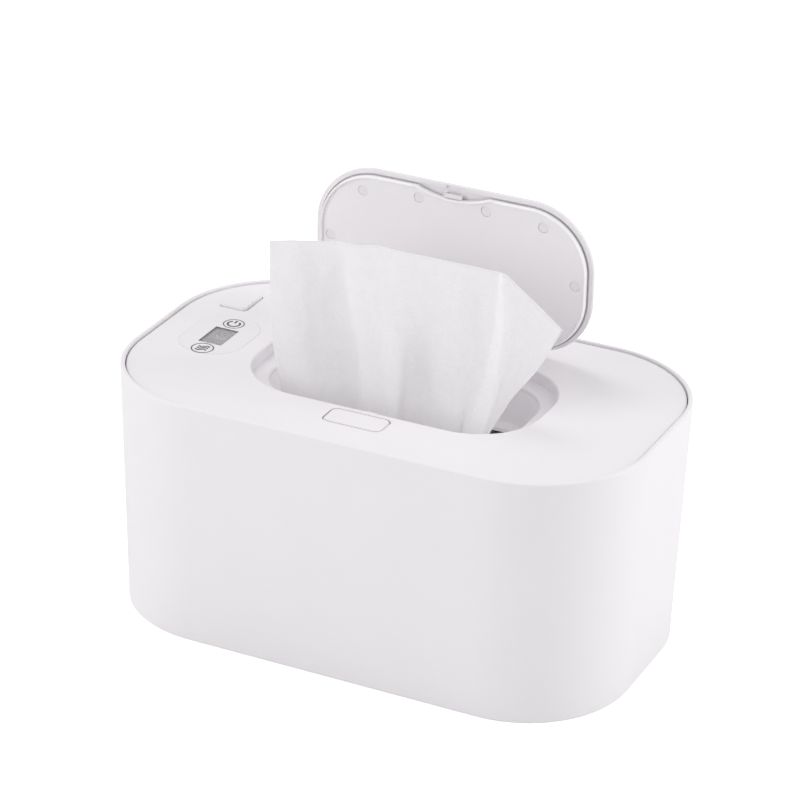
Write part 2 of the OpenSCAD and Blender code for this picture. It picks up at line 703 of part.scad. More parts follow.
module touch_springs() color(brass) for (p = touch_at)
  translate([p[0], p[1], board_z + board_t])
    coil_spring(2.6, 0.35, 4, panel_under - board_z - board_t);

module contact_pins() color(brass) for (y = contact_y)
  translate([contact_x, y, 0]) rotate_extrude() polygon([
    [0, contact_block_z[1] + 0.4], [0.6, contact_block_z[1] + 0.5],
    [0.6, contact_block_z[1] + 1], [0.95, contact_block_z[1] + 1], [0.95, board_z],
    [0, board_z]]);

module lid_hinge_pin() color(steel) rod_x(hinge_y, hinge_z, hinge_pin_r, [-21, 21]);

// Its first leg bears on the pocket's front wall, and its last leg lifts the lid's tab
module lid_spring() color(steel) translate([-6.4, hinge_y, hinge_z]) rotate([0, 90, 0])
  coil_spring(2.35, 0.4, 8, 12.8, legs = [4.4, 3.4]);

module hook_axle() color(steel) rod_x(hook_y, hook_z, hook_axle_r, [-ear_x[1], ear_x[1]]);

module hook_spring() color(steel) translate([2.65, hook_y, hook_z])
  rotate([0, 90, 0]) coil_spring(1.5, 0.15, 2, 1.15);

module button_spring() color(steel) translate([0, button_y, guide_floor + 1.2])
  coil_spring(3.6, 0.35, 4, panel_z - 2.4 - guide_floor - 1.2);

module release_spring() color(steel)
  for (y = [-4.4, 4.4]) translate([release_pos[0], release_pos[1] + y, release_floor])
    coil_spring(1.7, 0.25, 4, panel_z - 2 - release_floor);

module latch_spring() color(steel)
  translate([latch_end_x, release_pos[1], (latch_z[0] + latch_z[1]) / 2]) rotate([0, 90, 0])
    coil_spring(1.5, 0.25, 5, latch_stop_x - latch_end_x);

// A wipe half pulled out of the opening: a thin sheet that widens upwards in soft upright folds
function wipe_point(s, t) =
  let (
    z_top = wipe_head_z - 5 * pow(max(0, 1 - s / 0.25), 2) - 15 * smooth(max(0, (s - 0.8) / 0.2)),
    z = mix(wipe_foot_z, z_top, t),
    neck = smooth(min(1, (z - wipe_foot_z) / (wipe_neck_z - wipe_foot_z))),
    head = max(0, (z - wipe_neck_z) / (wipe_head_z - wipe_neck_z)),
    left = mix(mix(wipe_foot[0], wipe_neck[0], neck), wipe_head[0], head),
    right = mix(mix(wipe_foot[1], wipe_neck[1], neck), wipe_head[1], head),
    fold = -cos(360 * (s - wipe_fold_at - 0.05 * head) / wipe_fold_pitch),
    small = 0.8 * sin(360 * (3.1 * s + 0.8 * t))
  )
  [mix(left, right, s), fold * wipe_fold_depth * (0.6 + 0.4 * head) + small + 1, z];

module wipe() color(cloth_white) {
  cols = wipe_cols;
  rows = wipe_rows;
  sheet = [for (i = [0:rows], j = [0:cols]) wipe_point(j / cols, i / rows)];
  count = len(sheet);
  back = [for (p = sheet) p + [0, wipe_t, 0]];
  front_faces = [
    for (i = [0:rows - 1], j = [0:cols - 1]) let (p = i * (cols + 1) + j)
      each quad(p, p + cols + 1, p + cols + 2, p + 1)
  ];
  back_faces = [for (f = front_faces) [f[0] + count, f[2] + count, f[1] + count]];
  rim = concat(
    [for (j = [0:cols]) j], [for (i = [1:rows]) i * (cols + 1) + cols],
    [for (j = [cols - 1:-1:0]) rows * (cols + 1) + j],
    [for (i = [rows - 1:-1:1]) i * (cols + 1)]);
  rim_faces = [
    for (k = [0:len(rim) - 1]) let (a = rim[k], b = rim[(k + 1) % len(rim)])
      each quad(a, b, b + count, a + count)
  ];
  polyhedron(concat(sheet, back), concat(front_faces, back_faces, rim_faces));
}

module lid_shell() color(body_white) opened() difference() {
  union() {
    plate_under = panel_z - lid_plate_t;
    at_opening() sweep_slab(open_hx, open_hy, plate_under, panel_z) polygon(concat(
      [[0, plate_under], [lid_r - lid_band_w, plate_under], [lid_r - lid_band_w, lid_under],
       [lid_r - 0.3, lid_under], [lid_r, lid_under + 0.3]],
      arc([lid_r - 1, panel_z - 1], 1, 0, 90), [[0, panel_z]]));
    lid_tab();
    for (side = [-1, 1]) lid_knuckle(side);
    for (p = lid_stakes) translate([p[0], p[1], liner_z + 0.2])
      cylinder(r = lid_stake_r, h = plate_under + 0.5 - liner_z - 0.2);
    // Catch bar that the hook's nose reaches over
    difference() {
      block([-catch_w / 2 - catch_post, catch_y[0], catch_z[0]],
            [catch_w / 2 + catch_post, catch_y[1], plate_under + 0.2]);
      block([-catch_w / 2, catch_y[0] - 1, catch_z[1]],
            [catch_w / 2, catch_y[1] + 1, plate_under + 1]);
    }
  }
  rod_x(hinge_y, hinge_z, hinge_pin_r + hinge_clear, [-tab_w, tab_w]);
  // Relief of the rear edge, so that it swings clear of the panel
  translate([0, hinge_y, hinge_z]) for (side = [-90, 90]) rotate([0, side, 0]) rotate_extrude()
    polygon(concat(
      [[0, tab_w / 2 + 0.01], [swing_r(tab_w / 2), tab_w / 2 + 0.01]],
      [for (i = [0:6]) let (x = open_hx + 4 * i) [swing_r(x), x]], [[0, open_hx + 24]]));
  // Notch in the band for the hook
  block([-hook_w / 2 - 0.9, lid_front_y + 0.55, lid_under - 3],
        [hook_w / 2 + 0.9, catch_y[0], hook_top + 0.35]);
}

// Tab at the lid's rear edge, over the hinge
module lid_tab() along_x([-tab_w / 2, tab_w / 2]) polygon(concat(
  [[opening_y + opening_w / 2 - 3, lid_under], [tab_end_y - 0.6, lid_under],
   [tab_end_y, lid_under + 0.6]],
  arc([tab_end_y - 1.4, panel_z - 1.4], 1.4, 0, 90),
  [[opening_y + opening_w / 2 - 3, panel_z]]));

// Knuckle under the tab, with the finger that stops the open lid
module lid_knuckle(side) {
  ends = side > 0 ? knuckle_x : [-knuckle_x[1], -knuckle_x[0]];
  fingers = side > 0 ? stop_x : [-stop_x[1], -stop_x[0]];
  rod_x(hinge_y, hinge_z, knuckle_r, ends);
  block([ends[0], hinge_y - 2.5, hinge_z], [ends[1], hinge_y + 2.7, lid_under + 0.5]);
  block([fingers[0] + 0.2, hinge_y - stop_half_t, hinge_z - stop_len],
        [fingers[1] - 0.2, hinge_y + stop_half_t, hinge_z]);
}

module lid_liner() color(liner_white) opened() difference() {
  translate([0, 0, liner_z]) linear_extrude(liner_t) difference() {
    at_opening() rounded(open_hx, open_hy, liner_r);
    translate([0, bay_y]) circle(bay_r + 0.6, $fn = 180);
  }
  for (p = lid_stakes) translate([p[0], p[1], liner_z - 1])
    cylinder(r = lid_stake_r + 0.1, h = liner_t + 2);
}

// Soft lip round the liner. In front it bends inwards, round the catch
module lid_seal() color(seal_grey) opened() {
  lip = [[-0.6, 2.4], [-0.6, 1], [-0.25, 0.2], [0.25, 0.2], [0.6, 1], [0.6, 2.4]];
  mid = liner_r + 0.6;
  difference() {
    at_opening() translate([0, 0, ledge_z]) sweep_ring(open_hx, open_hy)
      polygon([for (p = lip) [mid + p[0], p[1]]]);
    translate([0, bay_y, ledge_z - 1]) cylinder(r = bay_r, h = 6, $fn = 180);
  }
  intersection() {
    translate([0, bay_y, ledge_z]) rotate_extrude($fn = 180)
      polygon([for (p = lip) [bay_r + p[0], p[1]]]);
    at_opening() translate([0, 0, ledge_z - 1]) linear_extrude(6)
      rounded(open_hx, open_hy, mid + 0.6);
  }
}

module lid_button() color(body_white) translate([0, button_y, 0]) {
  top = panel_z + 0.1;
  difference() {
    union() {
      translate([0, 0, panel_z - 5.5]) linear_extrude(5.1)
        rounded_rect([lid_button_w, lid_button_l], button_r);
      translate([0, 0, panel_z - 0.5]) linear_extrude(0.6)
        rounded_rect([lid_button_w - 0.8, lid_button_l - 0.8], button_r - 0.4);
      for (x = [-1, 1]) scale([x, 1, 1])
        block([lid_button_w / 2 - 1, -2.5, panel_z - 5.5],
              [lid_button_w / 2 + button_tab, 2.5, panel_under - 0.1 - 0.05]);
    }
    translate([0, 0, panel_z - 6]) linear_extrude(4.2)
      rounded_rect([lid_button_w - 3, lid_button_l - 3], button_r - 1.5);
  }
  translate([0, 0, hook_z + hook_arm_t / 2 + 0.3])
    cylinder(r = stem_r, h = top - 1 - hook_z - hook_arm_t / 2 - 0.3);
}

module lid_hook() color([0.86, 0.86, 0.86]) difference() {
  union() {
    rod_x(hook_y, hook_z, hook_hub_r, [-hook_w / 2, hook_w / 2]);
    along_x([-hook_w / 2, hook_w / 2]) polygon([
      [hook_stem_y[0], hook_z], [hook_stem_y[0], hook_top - 0.3],
      [hook_stem_y[0] + 0.3, hook_top], [hook_stem_y[1], hook_top],
      [hook_stem_y[1] + hook_nose, hook_top - 0.55],
      [hook_stem_y[1] + hook_nose, catch_z[1] + 0.1], [hook_stem_y[1], catch_z[1] + 0.1],
      [hook_stem_y[1], hook_z]]);
    along_x([-hook_w / 2, hook_w / 2]) polygon(concat(
      [[hook_y, hook_z + hook_arm_t / 2]],
      arc([button_y - 1.6, hook_z], hook_arm_t / 2, 90, 270, 6),
      [[hook_y, hook_z - hook_arm_t / 2]]));
  }
  rod_x(hook_y, hook_z, hook_axle_r + 0.05, [-hook_w, hook_w]);
}

module release_button() color(body_white) at_release() {
  top = panel_z + release_proud;
  difference() {
    union() {
      translate([0, 0, panel_under - 0.4]) linear_extrude(panel_t + release_proud)
        rounded_rect(release_size, 1.5);
      translate([0, 0, top - 0.5]) linear_extrude(0.5)
        rounded_rect(release_size - [0.8, 0.8], 1.1);
    }
    translate([0, 0, panel_under - 1]) linear_extrude(panel_t - 1)
      rounded_rect(release_size - [2.8, 2.8], 0.8);
  }
  // Wedge that draws the latch in
  translate([-release_pos[0], 0, 0]) along_y([-wedge_half_w, wedge_half_w]) polygon([
    [wedge_x[0], latch_z[0] + 1], [wedge_x[1], latch_z[0] + 1 + wedge_x[1] - wedge_x[0]],
    [wedge_x[1], panel_z - 1.5], [wedge_x[0], panel_z - 1.5]]);
}

module cover_latch() color([0.86, 0.86, 0.86]) difference() {
  intersection() {
    union() {
      intersection() {
        block([release_pos[0] - release_size[0] / 2 - 2, release_pos[1] - latch_half_w, latch_z[0]],
              [latch_end_x, release_pos[1] + latch_half_w, latch_z[1]]);
        translate([-body_hx, body_hy, 0]) cylinder(r = skirt_r - skirt_t - 0.4, h = 200);
      }
      block([-110, release_pos[1] - nose_half_w, latch_z[0]],
            [-90, release_pos[1] + nose_half_w, latch_z[1]]);
    }
    translate([-body_hx, body_hy, 0]) cylinder(r = shelf_r + latch_reach, h = 200);
  }
  // Window with a sloped end that the wedge bears on
  along_y([release_pos[1] - wedge_half_w - 0.3, release_pos[1] + wedge_half_w + 0.3]) polygon([
    [wedge_x[0] - release_travel - 0.6, latch_z[0] - 1],
    [wedge_x[0] - 2 + 0.42, latch_z[0] - 1],
    [wedge_x[1] + 0.42, latch_z[1] + 1],
    [wedge_x[0] - release_travel - 0.6, latch_z[1] + 1]]);
}

outer_shell();
base_plate();
base_screws();
rubber_feet();
inner_tank();
tank_screws();
heating_film();
insulation_foam();
thermal_cutoff();
thermistor();
power_board();
power_board_parts();
dc_jack();
jack_pin();
jack_leads();
heater_leads();
contact_block();
contact_pads();
contact_ribbon();
wipe_stack();
top_cover();
cover_tray();
tray_screws();
cover_seal();
control_overlay();
display_lens();
lcd_module();
control_board();
board_screws();
touch_springs();
contact_pins();
lid_hinge_pin();
lid_spring();
hook_axle();
hook_spring();
button_spring();
release_spring();
latch_spring();
wipe();
lid_shell();
lid_liner();
lid_seal();
lid_button();
lid_hook();
release_button();
cover_latch();
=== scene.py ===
"""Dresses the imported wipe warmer: finishes for every moulded, metal and soft part, the pulled wipe,
the folded stack under it, coil springs, the printed keys and display, and a plain studio.
Lengths are in metres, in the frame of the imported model, unless a name ends in mm."""

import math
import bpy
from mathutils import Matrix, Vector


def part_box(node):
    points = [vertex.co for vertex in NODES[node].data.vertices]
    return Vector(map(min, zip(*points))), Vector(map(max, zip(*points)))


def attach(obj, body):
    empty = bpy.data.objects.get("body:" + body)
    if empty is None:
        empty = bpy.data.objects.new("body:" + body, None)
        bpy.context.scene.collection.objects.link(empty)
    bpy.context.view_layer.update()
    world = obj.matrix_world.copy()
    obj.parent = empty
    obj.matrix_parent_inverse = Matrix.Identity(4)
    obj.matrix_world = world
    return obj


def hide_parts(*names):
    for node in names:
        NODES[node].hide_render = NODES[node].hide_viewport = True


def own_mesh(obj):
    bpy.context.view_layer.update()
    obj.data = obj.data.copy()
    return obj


bl_info = {
    "name": "Wipe Warmer Dressing",
    "version": (1, 0, 0),
    "blender": (4, 5, 0),
    "location": "View3D > Sidebar > Warmer",
    "description": "Finishes, cloth, springs, printed keys and a studio for a baby wipe warmer",
    "category": "Object",
}

import bpy
import numpy as np
from bpy.props import FloatProperty, FloatVectorProperty, IntProperty, PointerProperty
from mathutils import Matrix, Vector

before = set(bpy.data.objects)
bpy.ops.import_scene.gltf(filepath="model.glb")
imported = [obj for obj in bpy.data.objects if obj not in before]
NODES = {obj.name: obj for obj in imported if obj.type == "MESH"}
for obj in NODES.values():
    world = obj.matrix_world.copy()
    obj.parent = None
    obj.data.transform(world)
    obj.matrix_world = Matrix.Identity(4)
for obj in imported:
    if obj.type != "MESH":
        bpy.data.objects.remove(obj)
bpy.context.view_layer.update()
MM = 0.001

# Settings


def colour(name, description, default):
    return FloatVectorProperty(
        name=name, description=description, subtype="COLOR", size=3, min=0, max=1, default=default
    )


def length(name, description, default):
    return FloatProperty(
        name=name, description=description, default=default, min=0, unit="LENGTH", precision=5
    )


def share(name, description, default):
    return FloatProperty(
        name=name, description=description, default=default, min=0, max=1, subtype="FACTOR"
    )


def angle(name, description, default):
    return FloatProperty(
        name=name, description=description, default=math.radians(default), subtype="ANGLE"
    )


class WarmerFinish(bpy.types.PropertyGroup):
    shell: colour("Shell", "Colour of the moulded body, cover and lid", (0.88, 0.855, 0.88))
    liner: colour("Liner", "Colour of the lid's liner", (0.935, 0.914, 0.935))
    # The tray is painted lighter than the shell's white: painted light that brightens the shaded well
    # under the opening
    tray: colour("Tray", "Colour of the inner tray", (0.985, 0.972, 0.985))
    seal: colour("Seal", "Colour of the soft silicone lips", (0.95, 0.93, 0.95))
    overlay: colour("Overlay", "Colour of the film over the keys", (0.87, 0.845, 0.87))
    display: colour("Display", "Colour of the unlit display", (0.66, 0.645, 0.66))
    ink: colour("Ink", "Colour of the printed keys", (0.1, 0.1, 0.105))
    satin: share("Satin", "Roughness of the moulded plastics", 0.42)
    grain: length("Grain", "Size of the moulded grain", 0.0004)


class WarmerWipe(bpy.types.PropertyGroup):
    width: length("Width", "Width that the wipe was cut to", 0.15)
    length: length("Length", "Length that the wipe was cut to", 0.2)
    thickness: length("Thickness", "Thickness of the wet nonwoven", 0.0005)
    wrinkle: length("Wrinkle", "Depth of the small wrinkles", 0.00025)
    cloth: colour("Cloth", "Colour of the wipes", (0.93, 0.905, 0.93))


class WarmerStack(bpy.types.PropertyGroup):
    layer: length("Layer", "Height of one folded wipe in the stack", 0.0016)
    fold: length("Fold", "How far each fold bulges out of the stack's side", 0.0006)
    half_edge: FloatProperty(
        name="Half edge", description="Where the top wipe's free half ends", default=-0.012,
        unit="LENGTH",
    )
    seed: IntProperty(name="Seed", description="Start of the stack's unevenness", default=7)


class WarmerStage(bpy.types.PropertyGroup):
    floor: colour("Floor", "Colour of the floor", (0.9, 0.9, 0.9))
    sky: FloatProperty(name="Sky", description="Strength of the light from all round", default=0.68)
    left: FloatProperty(
        name="Left light", description="Softbox in front on the left", default=5.4, unit="POWER"
    )
    right: FloatProperty(
        name="Right light", description="Softbox behind on the right", default=7.3, unit="POWER"
    )
    key: FloatProperty(
        name="Key light", description="Small softbox high up behind on the left", default=3.7,
        unit="POWER",
    )
    azimuth: angle("Azimuth", "How far the camera stands round to the right", 24.93)
    elevation: angle("Elevation", "How far the camera looks down", 25.73)
    roll: angle("Roll", "How far the camera leans", 1.69)
    distance: length("Distance", "From the camera to the point that it aims at", 1.3992)
    aim: FloatVectorProperty(
        name="Aim", description="Point that the camera looks at", subtype="XYZ", unit="LENGTH",
        default=(-0.00845, 0.01416, 0.08602),
    )
    lens: FloatProperty(
        name="Lens", description="Focal length in millimetres on a 36 mm sensor", default=158.83
    )


# Shader groups


class Tree:
    """Short calls for building a node tree."""

    def __init__(self, tree):
        self.tree = tree

    def give(self, socket, value):
        if isinstance(value, bpy.types.NodeSocket):
            self.tree.links.new(value, socket)
        elif isinstance(value, bpy.types.Node):
            self.tree.links.new(value.outputs[0], socket)
        else:
            socket.default_value = value

    def node(self, kind, inputs=None, **values):
        node = self.tree.nodes.new(kind)
        node.location = (190 * (len(self.tree.nodes) % 12), -220 * (len(self.tree.nodes) // 12))
        for name, value in values.items():
            setattr(node, name, value)
        for socket, value in (inputs or {}).items():
            self.give(node.inputs[socket], value)
        return node

    def math(self, operation, a, b=0.0, clamp=False):
        return self.node("ShaderNodeMath", {0: a, 1: b}, operation=operation, use_clamp=clamp)

    def noise(self, place, scale, detail=2.0, rough=0.5):
        return self.node(
            "ShaderNodeTexNoise",
            {"Vector": place, "Scale": scale, "Detail": detail, "Roughness": rough},
        ).outputs["Fac"]

    def stretched(self, place, scale, turn=(0.0, 0.0, 0.0)):
        turned = self.node("ShaderNodeMapping", {"Vector": place, "Rotation": turn})
        return self.node("ShaderNodeMapping", {"Vector": turned, "Scale": scale})

    def ramp(self, value, low, high):
        """0 below low, 1 above high, and smooth between them."""
        return self.node(
            "ShaderNodeMapRange", {0: value, 1: low, 2: high}, interpolation_type="SMOOTHSTEP"
        )

    def between(self, value, low, high):
        """A value from 0 to 1 spread from low to high."""
        return self.node("ShaderNodeMapRange", {0: value, 3: low, 4: high})

    def mix(self, factor, a, b):
        node = self.node("ShaderNodeMix", {0: factor}, data_type="RGBA")
        self.give(node.inputs[6], a)
        self.give(node.inputs[7], b)
        return node.outputs[2]


def shared_group(name):
    """The shader group of that name, built the first time that a material asks for it."""
    if name in bpy.data.node_groups:
        return bpy.data.node_groups[name]
    build, inputs, outputs = GROUPS[name]
    group = bpy.data.node_groups.new(name, "ShaderNodeTree")
    for socket, kind in inputs.items():
        group.interface.new_socket(socket, in_out="INPUT", socket_type="NodeSocket" + kind)
    for socket in outputs:
        group.interface.new_socket(socket, in_out="OUTPUT", socket_type="NodeSocketFloat")
    tree = Tree(group)
    given = tree.node("NodeGroupInput").outputs
    tree.node("NodeGroupOutput", build(tree, given))
    return group


def build_moulded_skin(tree, given):
    """Spark-eroded grain, the slow waviness of a moulding, and fine rubbing marks."""
    fine = tree.math("DIVIDE", 1.0, given["Grain"])
    grain = tree.noise(given["Place"], fine, 3.0, 0.6)
    flow = tree.noise(given["Place"], 14.0, 1.0)
    rub = tree.noise(tree.stretched(given["Place"], (900, 60, 120), (0.4, 0.2, 0.7)), 1.0, 3.0)
    rubbed = tree.ramp(rub, 0.62, 0.75)
    return {
        "Height": tree.math("MULTIPLY", grain, given["Depth"]),
        "Gloss": tree.math("ADD", tree.math("MULTIPLY", rubbed, 0.35), tree.between(flow, 0, 0.65)),
        "Shade": tree.between(tree.noise(given["Place"], 45.0, 3.0), 0.0, 1.0),
    }


def build_brushed_metal(tree, given):
    """Drawing lines along X, and the mottled gloss of handled metal."""
    lines = tree.noise(tree.stretched(given["Place"], (70, 3000, 3000)), 1.0, 4.0, 0.7)
    cloud = tree.noise(given["Place"], 130.0, 2.0)
    return {
        "Height": lines,
        "Gloss": tree.math("ADD", tree.math("MULTIPLY", lines, 0.6), tree.math("MULTIPLY", cloud, 0.4)),
        "Shade": cloud,
    }


def build_nonwoven_web(tree, given):
    """Fibres that lie every way in a thin wet web, with thinner and thicker patches."""
    total = None
    for turn, size in ((0.2, 1.0), (0.95, 1.3), (1.75, 0.9), (2.6, 1.15)):
        fibres = tree.noise(
            tree.stretched(given["Place"], (260 * size, 3200 * size, 1.0), (0.0, 0.0, turn)), 1.0, 2.0
        )
        sharp = tree.ramp(fibres, 0.5, 0.72)
        total = sharp if total is None else tree.math("MAXIMUM", total, sharp)
    patches = tree.noise(given["Place"], 240.0, 3.0, 0.6)
    felt = tree.noise(given["Place"], 1050.0, 2.0, 0.7)
    uneven = tree.math("ADD", tree.math("MULTIPLY", total, 0.6), tree.math("MULTIPLY", patches, 0.4))
    return {
        "Height": tree.math("ADD", uneven, tree.math("MULTIPLY", felt, 1.2)),
        "Shade": tree.math(
            "ADD", tree.math("MULTIPLY", tree.ramp(felt, 0.3, 0.7), 0.6),
            tree.math("MULTIPLY", tree.ramp(patches, 0.3, 0.7), 0.4),
        ),
    }


def build_board_tracks(tree, given):
    """Tracks and tinned pads under the solder mask of a circuit board."""
    lanes = tree.node(
        "ShaderNodeTexVoronoi", {"Vector": given["Place"], "Scale": 260.0, "Randomness": 0.35},
        feature="DISTANCE_TO_EDGE",
    )
    pads = tree.node(
        "ShaderNodeTexVoronoi", {"Vector": given["Place"], "Scale": 420.0, "Randomness": 0.2},
        feature="F1", distance="CHEBYCHEV",
    )
    tracks = tree.math("SUBTRACT", 1.0, tree.ramp(lanes.outputs["Distance"], 0.03, 0.07))
    pad = tree.math("SUBTRACT", 1.0, tree.ramp(pads.outputs["Distance"], 0.16, 0.22))
    chosen = tree.ramp(tree.noise(given["Place"], 70.0, 1.0), 0.52, 0.56)
    return {"Tracks": tracks, "Pads": tree.math("MULTIPLY", pad, chosen)}


# What each group is built by, takes in and puts out
GROUPS = {
    "Moulded Skin": (
        build_moulded_skin, {"Place": "Vector", "Grain": "Float", "Depth": "Float"},
        ("Height", "Gloss", "Shade"),
    ),
    "Brushed Metal": (build_brushed_metal, {"Place": "Vector"}, ("Height", "Gloss", "Shade")),
    "Nonwoven Web": (build_nonwoven_web, {"Place": "Vector"}, ("Height", "Shade")),
    "Board Tracks": (build_board_tracks, {"Place": "Vector"}, ("Tracks", "Pads")),
}


# Materials


def tone(value, factor=1.0):
    return tuple(min(1.0, c * factor) for c in tuple(value)[:3]) + (1.0,)


class Paint:
    """A material with its Principled shader, and short calls to feed it."""

    def __init__(self, name, colour_value, rough, **values):
        self.colour = colour_value
        self.material = bpy.data.materials.new(name)
        self.material.use_nodes = True
        self.material.diffuse_color = tone(colour_value)
        self.tree = Tree(self.material.node_tree)
        self.shader = self.material.node_tree.nodes["Principled BSDF"]
        self.shader.inputs["Base Color"].default_value = tone(colour_value)
        self.shader.inputs["Roughness"].default_value = rough
        for socket, value in values.items():
            self.shader.inputs[socket.replace("_", " ")].default_value = value
        self.place = self.tree.node("ShaderNodeTexCoord").outputs["Object"]

    def group(self, name, **inputs):
        node = self.tree.node("ShaderNodeGroup", node_tree=shared_group(name))
        self.tree.give(node.inputs["Place"], inputs.pop("Place", self.place))
        for socket, value in inputs.items():
            self.tree.give(node.inputs[socket], value)
        return node.outputs

    def colours(self, mask, dark, light):
        self.tree.give(self.shader.inputs["Base Color"], self.tree.mix(mask, dark, light))

    def shades(self, mask, dark, light):
        """Two shades of the material's own colour, given as factors."""
        self.colours(mask, tone(self.colour, dark), tone(self.colour, light))

    def gloss(self, mask, smooth, rough):
        self.tree.give(self.shader.inputs["Roughness"], self.tree.between(mask, smooth, rough))

    def relief(self, height, depth, strength=1.0):
        bump = self.tree.node(
            "ShaderNodeBump", {"Height": height, "Distance": depth, "Strength": strength}
        )
        self.tree.give(self.shader.inputs["Normal"], bump)


def moulded(name, colour_value, rough, depth=0.000012, **values):
    """Injection-moulded plastic with a fine grain."""
    paint = Paint(name, colour_value, rough, **values)
    grain = bpy.context.scene.warmer_finish.grain
    skin = paint.group("Moulded Skin", Grain=grain, Depth=1.0)
    paint.shades(skin["Shade"], 0.985, 1.01)
    paint.gloss(skin["Gloss"], rough - 0.05, rough + 0.08)
    paint.relief(skin["Height"], depth)
    return paint.material


def metal(name, colour_value, rough, depth=0.00001, **values):
    """Drawn or plated metal."""
    paint = Paint(name, colour_value, rough, Metallic=1.0, **values)
    lines = paint.group("Brushed Metal")
    paint.shades(lines["Shade"], 0.88, 1.08)
    paint.gloss(lines["Gloss"], rough - 0.06, rough + 0.14)
    paint.relief(lines["Height"], depth)
    return paint.material


def silicone(name, colour_value):
    """Soft silicone lip with a little bloom on it."""
    paint = Paint(name, colour_value, 0.5, Specular_IOR_Level=0.4, Sheen_Weight=0.15)
    skin = paint.group("Moulded Skin", Grain=0.00025, Depth=0.7)
    paint.shades(skin["Shade"], 0.95, 1.03)
    paint.gloss(skin["Gloss"], 0.42, 0.6)
    paint.relief(skin["Height"], 0.00002)
    return paint.material


def rubber(name, colour_value):
    """Grey rubber foot, dusty where it has stood."""
    paint = Paint(name, colour_value, 0.8)
    skin = paint.group("Moulded Skin", Grain=0.0005, Depth=1.0)
    dust = paint.tree.ramp(paint.tree.noise(paint.place, 520.0, 4.0, 0.7), 0.45, 0.7)
    paint.shades(dust, 0.92, 1.3)
    paint.gloss(skin["Gloss"], 0.7, 0.92)
    paint.relief(skin["Height"], 0.00006)
    return paint.material


def circuit_board(name, colour_value):
    """Green solder mask over copper tracks, with tinned pads."""
    paint = Paint(name, colour_value, 0.35, Coat_Weight=0.4, Coat_Roughness=0.15)
    print_on = paint.group("Board Tracks")
    masked = paint.tree.mix(print_on["Tracks"], tone(colour_value, 0.8), tone(colour_value, 1.9))
    paint.colours(print_on["Pads"], masked, (0.62, 0.62, 0.6, 1))
    paint.tree.give(paint.shader.inputs["Metallic"], print_on["Pads"])
    paint.relief(paint.tree.math("ADD", print_on["Tracks"], print_on["Pads"]), 0.00004)
    return paint.material


def heater_film(name, colour_value):
    """Amber film with the heater's track showing through."""
    paint = Paint(name, colour_value, 0.25, Coat_Weight=0.5, Coat_Roughness=0.1)
    bands = paint.tree.node(
        "ShaderNodeTexWave", {"Vector": paint.place, "Scale": 60.0, "Distortion": 0.0},
        wave_type="BANDS", bands_direction="X",
    )
    track = paint.tree.ramp(bands.outputs["Fac"], 0.45, 0.55)
    paint.colours(track, tone(colour_value), tone((0.3, 0.13, 0.05)))
    paint.relief(track, 0.00005)
    return paint.material


def foam(name, colour_value):
    """Cut face of an open foam."""
    paint = Paint(name, colour_value, 0.95)
    cells = paint.tree.node("ShaderNodeTexVoronoi", {"Vector": paint.place, "Scale": 1100.0})
    paint.shades(cells.outputs["Distance"], 1.05, 0.7)
    paint.relief(cells.outputs["Distance"], 0.0003)
    return paint.material


def ribbon_cable(name, colour_value):
    """Flat cable with its wire ridges showing in relief, its colour lighter on the ridges and darker in
    the grooves as painted highlight and painted shade.
    """
    paint = Paint(name, colour_value, 0.4)
    ridges_and_painted_shade = paint.tree.node(
        "ShaderNodeTexWave", {"Vector": paint.place, "Scale": 160.0, "Distortion": 0.0},
        wave_type="BANDS", bands_direction="Y",
    ).outputs["Fac"]
    # Colour follows the relief: painted highlight on the ridges, painted shade in the grooves
    paint.shades(ridges_and_painted_shade, 0.8, 1.15)
    paint.relief(ridges_and_painted_shade, 0.0003)
    return paint.material


def wet_cloth(name, colour_value, place="UV"):
    """Wet nonwoven: a felted web of fibres with a soft sheen."""
    paint = Paint(
        name, colour_value, 0.85, Sheen_Weight=0.2, Sheen_Roughness=0.5, Subsurface_Weight=0.6,
        Subsurface_Scale=0.0015, Subsurface_Radius=(1.0, 1.0, 1.0),
    )
    if place == "UV":
        paint.place = paint.tree.node("ShaderNodeUVMap", uv_map="Cut").outputs[0]
    web = paint.group("Nonwoven Web")
    paint.shades(web["Shade"], 0.965, 1.015)
    paint.gloss(web["Shade"], 0.75, 0.95)
    paint.relief(web["Height"], 0.00009, 0.8)
    return paint.material


def clear_window(name, colour_value):
    """Hard-coated clear window over the display."""
    paint = Paint(name, colour_value, 0.08, Transmission_Weight=1.0, IOR=1.45)
    skin = paint.group("Moulded Skin", Grain=0.002, Depth=0.4)
    paint.gloss(skin["Gloss"], 0.05, 0.16)
    return paint.material


def display_panel(name, colour_value):
    """Unlit display, whose fine cells catch the light unevenly."""
    paint = Paint(name, colour_value, 0.3)
    cells = paint.tree.noise(paint.place, 1500.0, 1.0)
    paint.shades(paint.tree.ramp(cells, 0.35, 0.65), 0.9, 1.1)
    paint.gloss(cells, 0.24, 0.4)
    return paint.material


def overlay_film(name, colour_value):
    """Fine matt film over the touch keys."""
    paint = Paint(name, colour_value, 0.36)
    skin = paint.group("Moulded Skin", Grain=0.0002, Depth=0.6)
    paint.shades(skin["Shade"], 0.99, 1.01)
    paint.gloss(skin["Gloss"], 0.3, 0.42)
    paint.relief(skin["Height"], 0.000006)
    return paint.material


